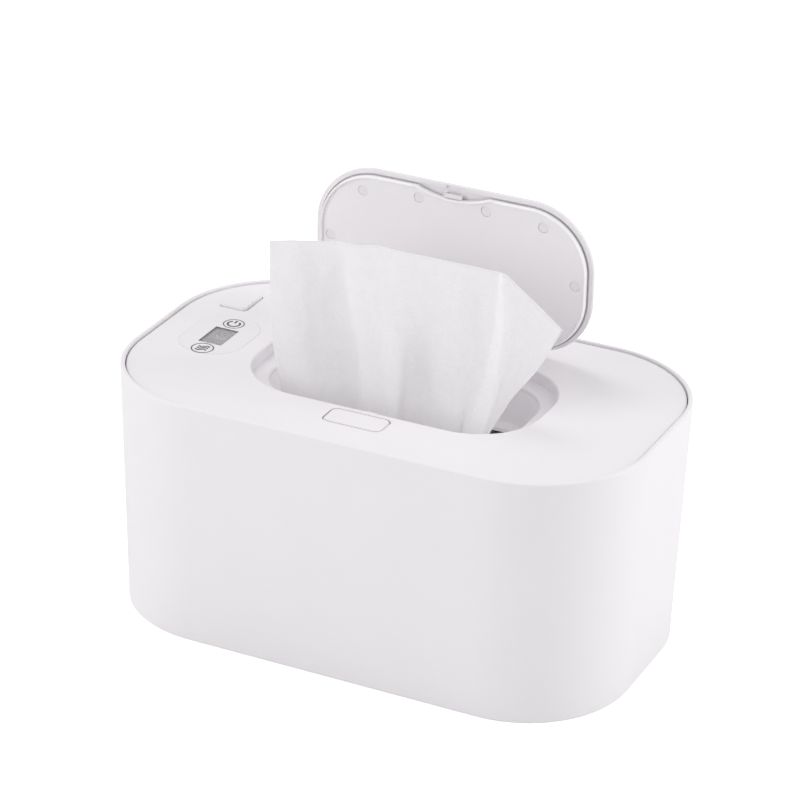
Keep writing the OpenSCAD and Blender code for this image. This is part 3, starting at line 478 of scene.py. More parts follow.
def finishes():
    """Material maker of each of the record's slots, and what it is given."""
    look = bpy.context.scene.warmer_finish
    cloth = bpy.context.scene.warmer_wipe.cloth
    return {
        "shell_white": (moulded, look.shell, look.satin),
        "cover_white": (moulded, look.shell, look.satin + 0.05),
        "lid_white": (moulded, look.shell, look.satin + 0.02),
        # The tray's lighter colour is painted light that brightens the shaded well
        "tray_white": (moulded, look.tray, look.satin + 0.08),
        "key_white": (moulded, look.shell, look.satin - 0.04),
        "seal_silicone": (silicone, look.seal),
        "foot_rubber": (rubber, (0.16, 0.16, 0.165)),
        "tank_metal": (metal, (0.84, 0.84, 0.85), 0.36),
        "steel": (metal, (0.62, 0.62, 0.64), 0.28),
        "contact_brass": (metal, (0.78, 0.57, 0.24), 0.25),
        "film_kapton": (heater_film, (0.55, 0.27, 0.06)),
        "foam": (foam, (0.74, 0.7, 0.6)),
        "ceramic_tan": (moulded, (0.5, 0.34, 0.2), 0.5, 0.00003),
        "board_green": (circuit_board, (0.02, 0.12, 0.05)),
        "part_black": (moulded, (0.02, 0.02, 0.022), 0.4, 0.00002),
        "lead_red": (moulded, (0.45, 0.03, 0.03), 0.4, 0.00001),
        "lead_white": (moulded, (0.75, 0.74, 0.72), 0.45, 0.00001),
        "ribbon_grey": (ribbon_cable, (0.4, 0.4, 0.42)),
        "cloth": (wet_cloth, cloth, "Object"),
        "overlay_film": (overlay_film, look.overlay),
        "display_glass": (clear_window, (0.97, 0.97, 0.97)),
        "display_body": (display_panel, look.display),
    }


def finish_for(slot):
    """The finished material of a slot, made once."""
    name = "Finish " + slot
    maker, *values = finishes()[slot]
    return bpy.data.materials.get(name) or maker(name, *values)


def dress(nodes):
    """Gives CAD nodes the finish of the slot that they were packed with."""
    for name in nodes:
        data = NODES[name].data
        packed = [material.name.split(".")[0] for material in data.materials]
        for i, slot in enumerate(packed):
            data.materials[i] = finish_for(slot)


# Mesh helpers


def new_piece(name, points, faces, material, smooth=True):
    """A mesh object from points and faces in metres."""
    data = bpy.data.meshes.new(name)
    data.from_pydata([tuple(p) for p in points], [], [tuple(f) for f in faces])
    data.update()
    data.polygons.foreach_set("use_smooth", [smooth] * len(data.polygons))
    piece = bpy.data.objects.new(name, data)
    data.materials.append(material)
    bpy.context.scene.collection.objects.link(piece)
    return piece


def grid_faces(rows, cols, start=0, wrap=False):
    """Faces of a grid of points kept row by row. wrap joins each row's end to its start."""
    faces = []
    for i in range(rows - 1):
        for j in range(cols if wrap else cols - 1):
            k = (j + 1) % cols
            a, b = start + i * cols, start + (i + 1) * cols
            faces.append((a + j, a + k, b + k, b + j))
    return faces


def skinned(rings, sides):
    """Faces of a solid that is skinned through rings of points and closed by flat ends."""
    faces = grid_faces(rings, sides, wrap=True)
    faces.append(tuple(range(sides))[::-1])
    last = (rings - 1) * sides
    faces.append(tuple(range(last, last + sides)))
    return faces


def joined(parts):
    """Points and faces of several meshes as one."""
    points, faces = [], []
    for made, made_faces in parts:
        faces += [tuple(i + len(points) for i in face) for face in made_faces]
        points += list(made)
    return points, faces


def rest_on(piece, body, slot, *replaced):
    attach(piece, body)
    if replaced:
        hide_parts(*replaced)


# Pulled wipe

# Upright fold lines of the wipe, from its left edge to its right: place along the cut width, height
# of the upper edge, then where the line is at each of the levels below (x, y in mm)
FOLD_LINES_MM = (
    (0.0, 153.0, (-56.0, -8.0), (-55.0, -9.0), (-52.0, -12.1), (-44.5, -17.0)),
    (0.09, 155.0, (-45.0, -6.6), (-43.0, -7.8), (-39.5, -11.0), (-32.5, -16.1)),
    (0.17, 156.0, (-35.0, -4.6), (-35.0, -5.2), (-32.0, -8.4), (-24.5, -13.8)),
    (0.24, 157.0, (-26.0, -4.1), (-25.0, -2.0), (-19.0, -4.1), (-14.0, -9.5)),
    (0.26, 157.0, (-23.0, -4.0), (-21.0, -3.1), (-15.5, -5.2), (-10.0, -10.5)),
    (0.35, 158.5, (-11.5, -3.9), (-10.5, -4.6), (-7.0, -7.8), (-2.0, -13.7)),
    (0.44, 158.5, (0.0, -4.1), (0.5, -5.2), (2.5, -10.6), (4.5, -16.9)),
    (0.47, 158.5, (4.0, -4.0), (5.0, -5.1), (6.5, -8.9), (7.0, -14.7)),
    (0.54, 158.5, (13.0, -3.8), (13.5, -4.9), (14.5, -5.8), (20.0, -11.3)),
    (0.62, 158.5, (23.5, -3.6), (24.0, -4.7), (25.5, -6.8), (29.0, -12.4)),
    (0.74, 158.0, (39.5, -3.0), (38.5, -3.8), (36.5, -7.3), (33.0, -14.0)),
    (0.76, 158.5, (41.5, -4.5), (43.5, -6.2), (43.0, -10.0), (40.0, -16.3)),
    (0.84, 153.5, (50.0, -4.8), (50.5, -6.8), (46.0, -10.8), (41.0, -16.9)),
    (1.0, 141.5, (67.5, -6.0), (60.0, -8.2), (49.0, -12.2), (42.0, -17.9)),
)
# Levels of the fold lines: 0 at the upper edge, 1 at the neck
LEVELS = (0.0, 0.3, 0.62, 1.0)
LEVEL_FOOT = 1.22
NECK_MM = 88.0
FOOT_MM = 76.2
# The hidden rest of the wipe lies on the stack in flat folds, each below the one before:
# how far it has run at each fold, where the fold is along y, and the height of each layer
TAIL_RUN_MM = (0.0, 24.0, 78.0, 130.0)
TAIL_Y_MM = (0.0, -24.0, 30.0, -22.0)
TAIL_Z_MM = (74.6, 73.1, 71.7)
TAIL_WIDTH = 0.8
TAIL_SHIFT_MM = 5
TAIL_TURN_MM = 2.5
# Share of the folds' depth that goes as the tail flattens
TAIL_FLATTENED = 0.6
WIPE_COLS = 220
WIPE_ROWS = 120


def smooth_line(x, stations, values):
    """Curves through rows of values at stations, with no overshoot between them."""
    stations, values = np.asarray(stations, float), np.asarray(values, float)
    h = np.diff(stations)
    slope = np.diff(values, axis=0) / h[:, None]
    m = np.zeros(values.shape)
    m[0], m[-1] = slope[0], slope[-1]
    w0, w1 = (2 * h[1:] + h[:-1])[:, None], (h[1:] + 2 * h[:-1])[:, None]
    before, after = slope[:-1], slope[1:]
    same = before * after > 1e-12
    safe_before, safe_after = np.where(same, before, 1), np.where(same, after, 1)
    m[1:-1] = np.where(same, (w0 + w1) / (w0 / safe_before + w1 / safe_after), 0)
    k = np.clip(np.searchsorted(stations, x, side="right") - 1, 0, len(h) - 1)
    t, step = ((x - stations[k]) / h[k])[:, None], h[k][:, None]
    return (
        (2 * t**3 - 3 * t**2 + 1) * values[k] + (t**3 - 2 * t**2 + t) * step * m[k]
        + (3 * t**2 - 2 * t**3) * values[k + 1] + (t**3 - t**2) * step * m[k + 1]
    )


def small_wrinkles(u, v, depth_mm):
    """Slight unevenness of a thin wet cloth, with long wrinkles that follow its folds."""
    long_ones = np.sin(2 * math.pi * (5.3 * u + 0.6 * v + 0.35 * np.sin(5 * v + 2 * u)))
    slanted = np.sin(2 * math.pi * (8.7 * u - 1.9 * v + 0.4 * np.sin(7 * u)))
    fine = np.sin(2 * math.pi * (17 * u + 3.1 * v + 0.8 * np.sin(9 * v)))
    fade = np.clip(0.35 + v, 0, 1)
    calm = 1 - 0.75 * np.clip((u - 0.7) / 0.08, 0, 1)
    waves = 0.8 * long_ones + 0.5 * slanted * np.sin(3 * v + 1) + 0.25 * fine
    return depth_mm * fade * calm * waves


def wipe_surface(width_mm, length_mm, wrinkle_mm):
    """Points of the wipe's middle surface, rows from its upper edge to its hidden end."""
    u = np.linspace(0, 1, WIPE_COLS)
    stations = [line[0] for line in FOLD_LINES_MM]
    guides = [[line[1]] + [value for place in line[2:] for value in place] for line in FOLD_LINES_MM]
    along = smooth_line(u, stations, guides)
    head_z = along[:, 0]
    levels = (*LEVELS, LEVEL_FOOT)
    line_x = np.vstack([along[:, 1::2].T, along[:, -2]])
    line_y = np.vstack([along[:, 2::2].T, along[:, -1]])
    shown = float(head_z.mean()) - FOOT_MM
    rows = []
    for v in np.linspace(0, length_mm, WIPE_ROWS):
        level = np.array([min(1.0, v / shown) * LEVEL_FOOT])
        x, y = smooth_line(level, levels, line_x)[0], smooth_line(level, levels, line_y)[0]
        if v <= shown:
            above = min(1.0, level[0])
            below = max(0.0, level[0] - 1) / (LEVEL_FOOT - 1)
            z = head_z + (NECK_MM - head_z) * above + (FOOT_MM - NECK_MM) * below
            y = y + small_wrinkles(u, level[0], wrinkle_mm)
        else:
            gone = v - shown
            spread = min(1.0, gone / TAIL_RUN_MM[1])
            spread = spread * spread * (3 - 2 * spread)
            x = x + ((u - 0.5) * width_mm * TAIL_WIDTH - TAIL_SHIFT_MM - x) * spread
            y = y * (1 - TAIL_FLATTENED * spread) + np.interp(gone, TAIL_RUN_MM, TAIL_Y_MM)
            z = FOOT_MM + (TAIL_Z_MM[0] - FOOT_MM) * min(1.0, gone / TAIL_TURN_MM)
            for fold, below, above in zip(TAIL_RUN_MM[1:], TAIL_Z_MM[1:], TAIL_Z_MM):
                turned = min(1.0, max(0.0, (gone - fold) / TAIL_TURN_MM * 0.5 + 0.5))
                z += (below - above) * turned
            z = z + 0.3 * np.sin(8 * u) + 0.15 * np.sin(19 * u)
        rows.append(np.stack([x, y, z], 1))
    return np.array(rows)


def sheet_mesh(name, surface, thickness, material, cut):
    """A closed thin sheet about a grid of points in metres, with its cut size as UVs."""
    rows, cols = surface.shape[:2]
    down = np.gradient(surface, axis=0)
    across = np.gradient(surface, axis=1)
    normal = np.cross(across, down)
    normal /= np.linalg.norm(normal, axis=2, keepdims=True) + 1e-12
    front = (surface + normal * thickness / 2).reshape(-1, 3)
    rear = (surface - normal * thickness / 2).reshape(-1, 3)
    count = rows * cols
    faces = [f[::-1] for f in grid_faces(rows, cols)]
    faces += grid_faces(rows, cols, count)
    rim = (
        list(range(cols)) + [i * cols + cols - 1 for i in range(1, rows)]
        + [(rows - 1) * cols + j for j in range(cols - 2, -1, -1)]
        + [i * cols for i in range(rows - 2, 0, -1)]
    )
    for a, b in zip(rim, rim[1:] + rim[:1]):
        faces.append((a, b, b + count, a + count))
    piece = new_piece(name, np.concatenate([front, rear]), faces, material)
    layer = piece.data.uv_layers.new(name="Cut")
    for loop in piece.data.loops:
        row, col = divmod(loop.vertex_index % count, cols)
        layer.data[loop.index].uv = (col / (cols - 1) * cut[0], row / (rows - 1) * cut[1])
    return piece


class WARMER_OT_pulled_wipe(bpy.types.Operator):
    """Makes the wipe that stands half out of the opening in soft upright folds"""

    bl_idname = "warmer.pulled_wipe"
    bl_label = "Pulled wipe"

    def execute(self, context):
        wipe = context.scene.warmer_wipe
        surface = wipe_surface(wipe.width / MM, wipe.length / MM, wipe.wrinkle / MM) * MM
        piece = sheet_mesh(
            "pulled_wipe", surface, wipe.thickness, wet_cloth("Finish pulled wipe", wipe.cloth),
            (wipe.width, wipe.length),
        )
        rest_on(piece, "cover", "cloth", "wipe")
        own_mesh(piece)
        return {"FINISHED"}


# Folded stack

STACK_CORNER = 0.029
RINGS_PER_LAYER = 6
RING_POINTS = 160
# Rings of the top wipe: how far each lies in from the edge, and how far below the stack's top
TOP_RINGS = ((0.0004, 0.0002), (0.002, 0.0), (0.008, 0.0002), (0.02, 0.0005))
# Rings of its free half: how far each lies in from the edge, and how far above the stack's top
HALF_RINGS = ((0.0012, -0.0004), (0.0006, -0.0001), (0.0006, 0.0001), (0.0014, 0.0003))


def rounded_outline(half_x, half_y, radius, count):
    """Points evenly round a rounded rectangle, and their outward directions."""
    hx, hy = half_x - radius, half_y - radius
    quarter = math.pi / 2 * radius
    runs = (2 * hy, quarter, 2 * hx, quarter) * 2
    total = sum(runs)
    starts = ((half_x, -hy), (hx, hy), (hx, half_y), (-hx, hy),
              (-half_x, hy), (-hx, -hy), (-hx, -half_y), (hx, -hy))
    points, outward = [], []
    for n in range(count):
        s, k = total * n / count, 0
        while s > runs[k]:
            s -= runs[k]
            k += 1
        base = (k // 2) * math.pi / 2
        if k % 2 == 0:
            along = (-math.sin(base), math.cos(base))
            points.append((starts[k][0] + along[0] * s, starts[k][1] + along[1] * s))
            outward.append((math.cos(base), math.sin(base)))
        else:
            a = base + s / radius
            centre = starts[k]
            points.append((centre[0] + radius * math.cos(a), centre[1] + radius * math.sin(a)))
            outward.append((math.cos(a), math.sin(a)))
    return np.array(points), np.array(outward)


class WARMER_OT_folded_stack(bpy.types.Operator):
    """Makes the stack of folded wipes in the tank, with the edge of every fold"""

    bl_idname = "warmer.folded_stack"
    bl_label = "Folded stack"

    def execute(self, context):
        stack = context.scene.warmer_stack
        low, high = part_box("wipe_stack")
        rng = np.random.default_rng(stack.seed)
        half_x, half_y = high.x - stack.fold, high.y - stack.fold
        outline, outward = rounded_outline(half_x, half_y, STACK_CORNER, RING_POINTS)
        layers = round((high.z - low.z) / stack.layer)
        step = (high.z - low.z) / layers
        turn = np.linspace(0, 2 * math.pi, RING_POINTS, endpoint=False)
        rings = []
        for layer in range(layers):
            wander = 0.3 * rng.random() + 0.25 * np.sin(turn * 2 + rng.random() * 6) * rng.random()
            for k in range(RINGS_PER_LAYER):
                part = k / RINGS_PER_LAYER
                bulge = stack.fold * (math.sin(math.pi * part) ** 0.5 - wander)
                place = outline + outward * np.minimum(bulge, stack.fold)[:, None]
                z = low.z + step * (layer + part)
                rings.append(np.column_stack([place, np.full(RING_POINTS, z)]))
        # The top wipe closes the stack with a soft edge and a slight dip in the middle
        for inset, drop in TOP_RINGS:
            rings.append(np.column_stack([
                outline - outward * inset,
                high.z - drop - 0.0002 * np.abs(np.sin(turn * 3 + inset * 400)),
            ]))
        # The top wipe is folded in half, and its free half ends in a soft edge
        half = []
        for inset, rise in HALF_RINGS:
            place = outline - outward * inset
            wave = 0.0004 * np.sin(place[:, 0] * 90)
            place[:, 1] = np.maximum(place[:, 1], stack.half_edge + wave + inset)
            half.append(np.column_stack([place, np.full(RING_POINTS, high.z + rise)]))
        parts = [(np.concatenate(made), skinned(len(made), RING_POINTS)) for made in (rings, half)]
        piece = new_piece("folded_stack", *joined(parts), finish_for("cloth"))
        rest_on(piece, "base", "cloth", "wipe_stack")
        return {"FINISHED"}


# Coil springs

SPRING_SIDES = 12
STEPS_PER_TURN = 28
# Each coil: radius of its turns and of its wire in mm, and how many turns
KEY_COIL = (2.6, 0.35, 4)
BUTTON_COIL = (3.6, 0.35, 4)
RELEASE_COIL = (1.7, 0.25, 4)
LATCH_COIL = (1.5, 0.25, 5)
LID_COIL = (2.35, 0.4, 8)
HOOK_COIL = (1.5, 0.15, 2)
LID_LEGS_MM = (4.4, 3.4)
# How far the middles of paired coils lie in from the edges of their node
KEY_INSET_MM = (3.05, 2.95)
RELEASE_INSET_MM = 1.95
# Share of each turn's spacing that the closed end turns give up
END_CLOSING = 0.35


def coil(start, axis, size, height, legs_mm=(0.0, 0.0)):
    """Points and faces of a coil of round wire. It starts at a point, climbs along axis, has its
    end turns closed, and may have straight legs."""
    radius, wire, turns = size[0] * MM, size[1] * MM, size[2]
    legs = [leg * MM for leg in legs_mm]
    axis = Vector(axis).normalized()
    side = axis.orthogonal().normalized()
    if abs(axis.x) > 0.9:
        side = Vector((0, 0, -1))
    other = axis.cross(side)
    path = []
    steps = int(turns * STEPS_PER_TURN)
    for i in range(steps + 1):
        part = i / steps
        ease = part - END_CLOSING * math.sin(2 * math.pi * part) / (2 * math.pi)
        a = 2 * math.pi * turns * part
        path.append((a, 0.0, wire + (height - 2 * wire) * ease))
    if legs[0] > 0:
        path.insert(0, (0.0, -legs[0], wire))
    if legs[1] > 0:
        path.append((2 * math.pi * turns, legs[1], height - wire))
    points = []
    for a, run, climb in path:
        out = side * math.cos(a) + other * math.sin(a)
        centre = Vector(start) + out * radius + other * run + axis * climb
        for j in range(SPRING_SIDES):
            b = 2 * math.pi * j / SPRING_SIDES
            points.append(centre + (out * math.cos(b) + axis * math.sin(b)) * wire)
    return points, skinned(len(path), SPRING_SIDES)


def coils_along_z(node, size, places):
    """Upright coils that fill a CAD node's height at the given (x, y) places."""
    low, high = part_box(node)
    return [coil((x, y, low.z), (0, 0, 1), size, high.z - low.z) for x, y in places]


def coil_piece(name, coils, node, slot):
    piece = new_piece(name, *joined(coils), finish_for(slot))
    rest_on(piece, "cover", slot, node)
    return piece


class WARMER_OT_coil_springs(bpy.types.Operator):
    """Makes the springs of the keys, the lid, its hook and the cover release in round wire"""

    bl_idname = "warmer.coil_springs"
    bl_label = "Coil springs"

    def execute(self, context):
        def middle(node):
            low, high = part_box(node)
            return (low + high) / 2

        low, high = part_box("touch_springs")
        in_x, in_y = KEY_INSET_MM
        keys = [(low.x + in_x * MM, y) for y in (low.y + in_y * MM, high.y - in_y * MM)]
        coil_piece("key_coils", coils_along_z("touch_springs", KEY_COIL, keys),
                   "touch_springs", "contact_brass")

        spot = middle("button_spring")
        button = coil_piece(
            "button_coil", coils_along_z("button_spring", BUTTON_COIL, [(spot.x, spot.y)]),
            "button_spring", "steel")
        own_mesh(button)

        low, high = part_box("release_spring")
        in_y = RELEASE_INSET_MM
        places = [((low.x + high.x) / 2, y) for y in (low.y + in_y * MM, high.y - in_y * MM)]
        release = coil_piece(
            "release_coils", coils_along_z("release_spring", RELEASE_COIL, places),
            "release_spring", "steel")
        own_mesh(release)

        low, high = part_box("latch_spring")
        spot = middle("latch_spring")
        latch = coil_piece(
            "latch_coil",
            [coil((low.x, spot.y, spot.z), (1, 0, 0), LATCH_COIL, high.x - low.x)],
            "latch_spring", "steel")
        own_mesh(latch)

        pin = middle("lid_hinge_pin")
        low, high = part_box("lid_spring")
        coil_piece(
            "lid_coil",
            [coil((low.x, pin.y, pin.z), (1, 0, 0), LID_COIL, high.x - low.x, LID_LEGS_MM)],
            "lid_spring", "steel")

        axle = middle("hook_axle")
        low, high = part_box("hook_spring")
        coil_piece(
            "hook_coil",
            [coil((low.x, axle.y, axle.z), (1, 0, 0), HOOK_COIL, high.x - low.x)],
            "hook_spring", "steel")
        return {"FINISHED"}


# Printed keys and display

INK_HEIGHT = 0.00004
POWER_AT_MM = (-82.1, 12.2)
MODE_AT_MM = (-82.2, -14.0)
DISPLAY_AT_MM = (-82.0, -0.9)
# Ring round each key: radius and width of its line
POWER_RING_MM = (4.2, 0.44)
MODE_RING_MM = (4.4, 0.5)
POWER_ARC_MM = 2.5
POWER_STEM_MM = (0.6, 3.1)
POWER_LINE_MM = 0.85
# Waves of the mode key: how far up each lies, and the length, height and line width of all
WAVE_SHIFTS_MM = (-1.25, 0.35, 1.9)
WAVE_DROP_MM = 0.3
WAVE_MM = (4.6, 0.75)
WAVE_LINE_MM = 0.75
# Lit bars of a seven-bar digit: top, upper right, lower right, bottom, lower left, upper left, middle
DIGIT_BARS = {"4": "0110011", "5": "1011011"}
DIGIT_SIZE_MM = (2.7, 5.4)
BAR_WIDTH_MM = 0.45
BAR_GAP_MM = 0.22
# Bars of the level mark on the display: place along x, and height of the upper end
LEVEL_BARS_MM = ((-3.6, -4.4), (-2.0, -4.0), (-0.4, -4.8))
DARK_FIGURE, PALE_FIGURE = 0.8, 1.4


def arc_points(centre, radius, start, end, count=40):
    """Points of an arc between two angles in degrees, counted from +X."""
    turn = np.radians(np.linspace(start, end, count))
    return [(centre[0] + radius * math.cos(a), centre[1] + radius * math.sin(a)) for a in turn]


def stroke(path_mm, width_mm, z, closed=False):
    """A flat printed line of even width through points in the plane, as a thin closed mesh."""
    path = np.array(path_mm, float) * MM
    before = np.roll(path, 1, 0) if closed else np.concatenate([path[:1], path[:-1]])
    after = np.roll(path, -1, 0) if closed else np.concatenate([path[1:], path[-1:]])
    along = after - before
    along /= np.linalg.norm(along, axis=1, keepdims=True)
    side = np.column_stack([-along[:, 1], along[:, 0]]) * width_mm * MM / 2
    count = len(path)
    points, faces = [], []
    for offset, height in ((side, z), (-side, z), (-side, z + INK_HEIGHT), (side, z + INK_HEIGHT)):
        points += [(p[0], p[1], height) for p in path + offset]
    for i in range(count if closed else count - 1):
        k = (i + 1) % count
        for a, b in ((0, 1), (1, 2), (2, 3), (3, 0)):
            faces.append((a * count + i, b * count + i, b * count + k, a * count + k))
    if not closed:
        faces.append((0, 3 * count, 2 * count, count))
        end = count - 1
        faces.append((end, count + end, 2 * count + end, 3 * count + end))
    return points, faces


def key_ring(centre, size_mm, z):
    return stroke(arc_points(centre, size_mm[0], 0, 354, 60), size_mm[1], z, closed=True)


def printed(name, strokes, material, slot):
    piece = new_piece(name, *joined(strokes), material, smooth=False)
    rest_on(piece, "cover", slot)


def wave_points(centre, length_mm, height_mm, turns=1.0, count=28):
    """A printed wave that runs along X."""
    part = np.linspace(-0.5, 0.5, count)
    return [
        (centre[0] + length_mm * p, centre[1] + height_mm * math.sin(2 * math.pi * turns * p))
        for p in part
    ]


def digit_strokes(centre, size, bars, z):
    """Bars of one digit that reads from the front."""
    w, h = size[0] / 2, size[1] / 2
    cx, cy = centre
    gap = BAR_GAP_MM
    ends = (
        ((-w + gap, h), (w - gap, h)), ((w, h - gap), (w, gap)), ((w, -gap), (w, -h + gap)),
        ((-w + gap, -h), (w - gap, -h)), ((-w, -gap), (-w, -h + gap)), ((-w, h - gap), (-w, gap)),
        ((-w + gap, 0), (w - gap, 0)),
    )
    return [
        stroke([(cx + a[0], cy + a[1]), (cx + b[0], cy + b[1])], BAR_WIDTH_MM, z)
        for lit, (a, b) in zip(bars, ends) if lit == "1"
    ]


class WARMER_OT_printed_keys(bpy.types.Operator):
    """Prints the power key and the mode key on the overlay, and the figures on the display"""

    bl_idname = "warmer.printed_keys"
    bl_label = "Printed keys"

    def execute(self, context):
        look = context.scene.warmer_finish
        ink = moulded("Finish key ink", look.ink, 0.45, 0.000004)
        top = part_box("control_overlay")[1].z
        power, mode, window = POWER_AT_MM, MODE_AT_MM, DISPLAY_AT_MM
        keys = [
            key_ring(power, POWER_RING_MM, top),
            stroke(arc_points(power, POWER_ARC_MM, 125, 415, 48), POWER_LINE_MM, top),
            stroke([(power[0], power[1] + up) for up in POWER_STEM_MM], POWER_LINE_MM, top),
            key_ring(mode, MODE_RING_MM, top),
        ]
        for shift in WAVE_SHIFTS_MM:
            middle = (mode[0], mode[1] + shift - WAVE_DROP_MM)
            keys.append(stroke(wave_points(middle, *WAVE_MM), WAVE_LINE_MM, top))
        printed("key_print", keys, ink, "overlay_film")

        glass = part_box("lcd_module")[1].z
        dark, pale = [
            moulded(name, tuple(factor * c for c in look.display), 0.4, 0.000004)
            for name, factor in (
                ("Finish dark figures", DARK_FIGURE), ("Finish pale figures", PALE_FIGURE)
            )
        ]
        figures = []
        for digit, shift in (("4", -2.0), ("5", 2.0)):
            figures += digit_strokes(
                (window[0] + shift, window[1] + 1.0), DIGIT_SIZE_MM, DIGIT_BARS[digit], glass
            )
        printed("display_figures", figures, pale, "display_body")
        ring = arc_points((window[0] + 3.4, window[1] - 5.2), 0.8, 0, 350, 24)
        marks = [stroke(ring, 0.3, glass, closed=True)]
        for x, upper in LEVEL_BARS_MM:
            bar = [(window[0] + x, window[1] - 6.0), (window[0] + x, window[1] + upper)]
            marks.append(stroke(bar, 0.5, glass))
        rule = [(window[0] - 3.8, window[1] + 6.4), (window[0] + 3.8, window[1] + 6.4)]
        marks.append(stroke(rule, 0.3, glass))
        printed("display_marks", marks, dark, "display_body")
        return {"FINISHED"}


# Finishes of the CAD parts


class WARMER_OT_dress_body(bpy.types.Operator):
    """Finishes the outer shell, the base and the feet"""

    bl_idname = "warmer.dress_body"
    bl_label = "Body"

    def execute(self, context):
        dress(("outer_shell", "base_plate", "base_screws", "rubber_feet"))
        return {"FINISHED"}


class WARMER_OT_dress_cover(bpy.types.Operator):
    """Finishes the lift-off cover with its tray, seal, release and latch"""

    bl_idname = "warmer.dress_cover"
    bl_label = "Cover"

    def execute(self, context):
        dress(("top_cover", "cover_tray", "tray_screws", "cover_seal", "release_button",
               "release_spring", "cover_latch", "latch_spring"))
        return {"FINISHED"}


class WARMER_OT_dress_lid(bpy.types.Operator):
    """Finishes the lid with its hinge, hook and button"""

    bl_idname = "warmer.dress_lid"
    bl_label = "Lid"

    def execute(self, context):
        dress(("lid_shell", "lid_seal", "lid_hinge_pin", "lid_spring", "lid_hook", "hook_axle",
               "hook_spring", "lid_button", "button_spring"))
        look = context.scene.warmer_finish
        NODES["lid_liner"].data.materials[0] = moulded(
            "Finish lid liner", look.liner, look.satin + 0.08
        )
        return {"FINISHED"}


class WARMER_OT_dress_controls(bpy.types.Operator):
    """Finishes the overlay, the display and the control board"""

    bl_idname = "warmer.dress_controls"
    bl_label = "Controls"

    def execute(self, context):
        dress(("control_overlay", "display_lens", "lcd_module", "control_board", "board_screws",
               "touch_springs", "contact_pins"))
        return {"FINISHED"}


class WARMER_OT_dress_heater(bpy.types.Operator):
    """Finishes the tank, its heater, the power board, the inlet and the solids of the wipes"""

    bl_idname = "warmer.dress_heater"
    bl_label = "Tank and heater"

    def execute(self, context):
        dress(("inner_tank", "tank_screws", "heating_film", "insulation_foam", "thermal_cutoff",
               "thermistor", "power_board", "power_board_parts", "dc_jack", "jack_pin",
               "jack_leads", "heater_leads", "contact_block", "contact_pads", "contact_ribbon",
               "wipe_stack", "wipe"))
        return {"FINISHED"}


# Stage

FLOOR_RADIUS = 9.0
FLOOR_POINTS = 96
# How bright the camera alone sees the floor glow, and the sky
FLOOR_SEEN = 0.9
SKY_SEEN = 1.1
LIGHTS_AIM = (0, 0, 0.08)
# Setting with each softbox's power, its place and its size
SOFTBOXES = (
    ("left", (-0.98, -0.98, 0.64), (0.8, 0.9)),
    ("right", (1.31, 0.48, 0.64), (0.8, 0.9)),
    ("key", (-0.59, 0.46, 1.41), (0.55, 0.55)),
)


def softbox(name, place, size, power):
    light = bpy.data.lights.new(name, "AREA")
    light.shape = "RECTANGLE"
    light.size, light.size_y = size
    light.energy = power
    lamp = bpy.data.objects.new(name, light)
    lamp.location = place
    lamp.rotation_euler = (Vector(LIGHTS_AIM) - Vector(place)).to_track_quat("-Z", "Y").to_euler()
    bpy.context.scene.collection.objects.link(lamp)


def camera_matrix(stage):
    """Where the camera stands, from its angles about the point that it aims at."""
    a, e, roll = stage.azimuth, stage.elevation, stage.roll
    back = Vector((math.sin(a) * math.cos(e), -math.cos(a) * math.cos(e), math.sin(e)))
    level = back.cross(Vector((0, 0, -1))).normalized()
    upright = back.cross(level)
    right = level * math.cos(roll) + upright * math.sin(roll)
    up = upright * math.cos(roll) - level * math.sin(roll)
    place = Vector(stage.aim) + back * stage.distance
    return Matrix((
        (right.x, up.x, back.x, place.x), (right.y, up.y, back.y, place.y),
        (right.z, up.z, back.z, place.z), (0, 0, 0, 1),
    ))


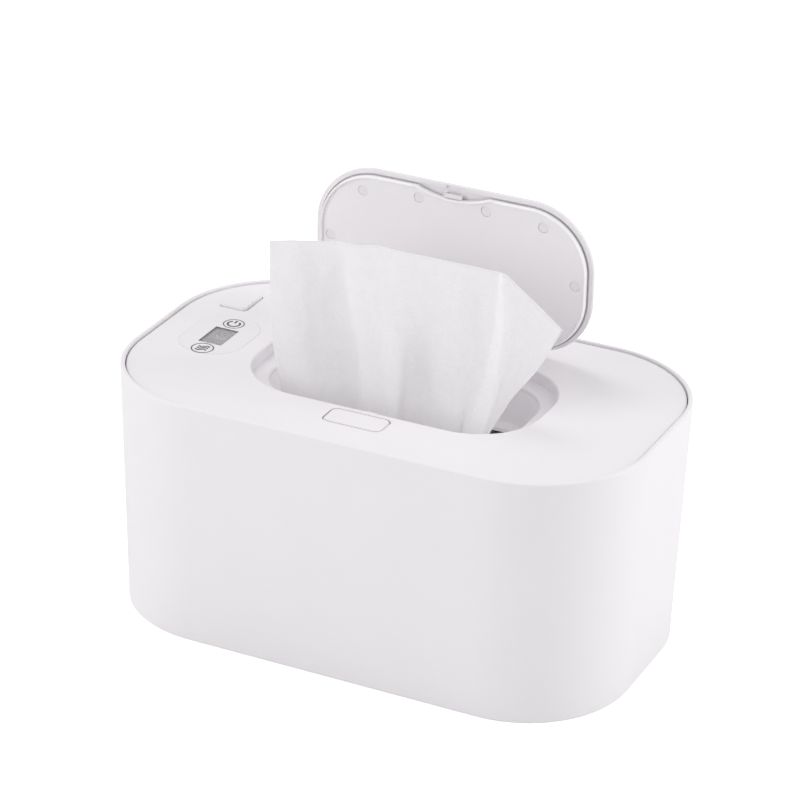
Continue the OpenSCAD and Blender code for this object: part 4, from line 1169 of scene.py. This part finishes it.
class WARMER_OT_stage(bpy.types.Operator):
    """Sets the plain floor, the soft studio lights and the camera"""

    bl_idname = "warmer.stage"
    bl_label = "Stage"

    def execute(self, context):
        stage = context.scene.warmer_stage
        scene = context.scene
        turn = np.linspace(0, 2 * math.pi, FLOOR_POINTS, endpoint=False)
        rim = [(FLOOR_RADIUS * math.cos(a), FLOOR_RADIUS * math.sin(a), 0.0) for a in turn]
        paint = Paint("Finish floor", stage.floor, 0.9, Specular_IOR_Level=0.1)
        paint.shader.inputs["Emission Color"].default_value = (1, 1, 1, 1)
        # The floor looks lit from below, but throws none of that light on the warmer
        seen = paint.tree.node("ShaderNodeLightPath").outputs["Is Camera Ray"]
        paint.tree.give(
            paint.shader.inputs["Emission Strength"],
            paint.tree.math("MULTIPLY", seen, FLOOR_SEEN),
        )
        floor = new_piece("floor", rim, [tuple(range(FLOOR_POINTS))], paint.material, smooth=False)

        world = bpy.data.worlds.new("Studio")
        world.use_nodes = True
        world.node_tree.nodes["Background"].inputs["Color"].default_value = (1, 1, 1, 1)
        sky = Tree(world.node_tree)
        looked_at = sky.node("ShaderNodeLightPath").outputs["Is Camera Ray"]
        sky.give(
            world.node_tree.nodes["Background"].inputs["Strength"],
            sky.between(looked_at, stage.sky, SKY_SEEN),
        )
        scene.world = world

        for setting, place, size in SOFTBOXES:
            softbox(setting + " softbox", place, size, getattr(stage, setting))

        lens = bpy.data.cameras.new("camera")
        lens.sensor_width = 36
        lens.lens = stage.lens
        lens.clip_start, lens.clip_end = 0.05, 40
        camera = bpy.data.objects.new("camera", lens)
        camera.matrix_world = camera_matrix(stage)
        scene.collection.objects.link(camera)
        scene.camera = camera
        scene.view_settings.view_transform = "Standard"
        return {"FINISHED"}


class WARMER_PT_panel(bpy.types.Panel):
    """Sizes, colours and steps of the dressing"""

    bl_idname = "WARMER_PT_panel"
    bl_label = "Wipe Warmer"
    bl_space_type = "VIEW_3D"
    bl_region_type = "UI"
    bl_category = "Warmer"

    def draw(self, context):
        for group in SETTINGS:
            box = self.layout.box()
            box.label(text=group.removeprefix("warmer_").title())
            values = getattr(context.scene, group)
            for name in values.__annotations__:
                box.prop(values, name)
        for step in STEPS:
            self.layout.operator(step.bl_idname)


SETTINGS = {
    "warmer_finish": WarmerFinish,
    "warmer_wipe": WarmerWipe,
    "warmer_stack": WarmerStack,
    "warmer_stage": WarmerStage,
}
STEPS = (
    WARMER_OT_stage,
    WARMER_OT_dress_body,
    WARMER_OT_dress_cover,
    WARMER_OT_dress_lid,
    WARMER_OT_dress_controls,
    WARMER_OT_dress_heater,
    WARMER_OT_folded_stack,
    WARMER_OT_pulled_wipe,
    WARMER_OT_coil_springs,
    WARMER_OT_printed_keys,
)


def register():
    for kind in (*SETTINGS.values(), *STEPS, WARMER_PT_panel):
        bpy.utils.register_class(kind)
    for name, kind in SETTINGS.items():
        setattr(bpy.types.Scene, name, PointerProperty(type=kind))


def unregister():
    for name in SETTINGS:
        delattr(bpy.types.Scene, name)
    for kind in reversed((*SETTINGS.values(), *STEPS, WARMER_PT_panel)):
        bpy.utils.unregister_class(kind)


def main():
    register()
    bpy.ops.warmer.stage()
    bpy.ops.warmer.dress_body()
    bpy.ops.warmer.dress_cover()
    bpy.ops.warmer.dress_lid()
    bpy.ops.warmer.dress_controls()
    bpy.ops.warmer.dress_heater()
    bpy.ops.warmer.folded_stack()
    bpy.ops.warmer.pulled_wipe()
    bpy.ops.warmer.coil_springs()
    bpy.ops.warmer.printed_keys()


if __name__ == "__main__":
    main()
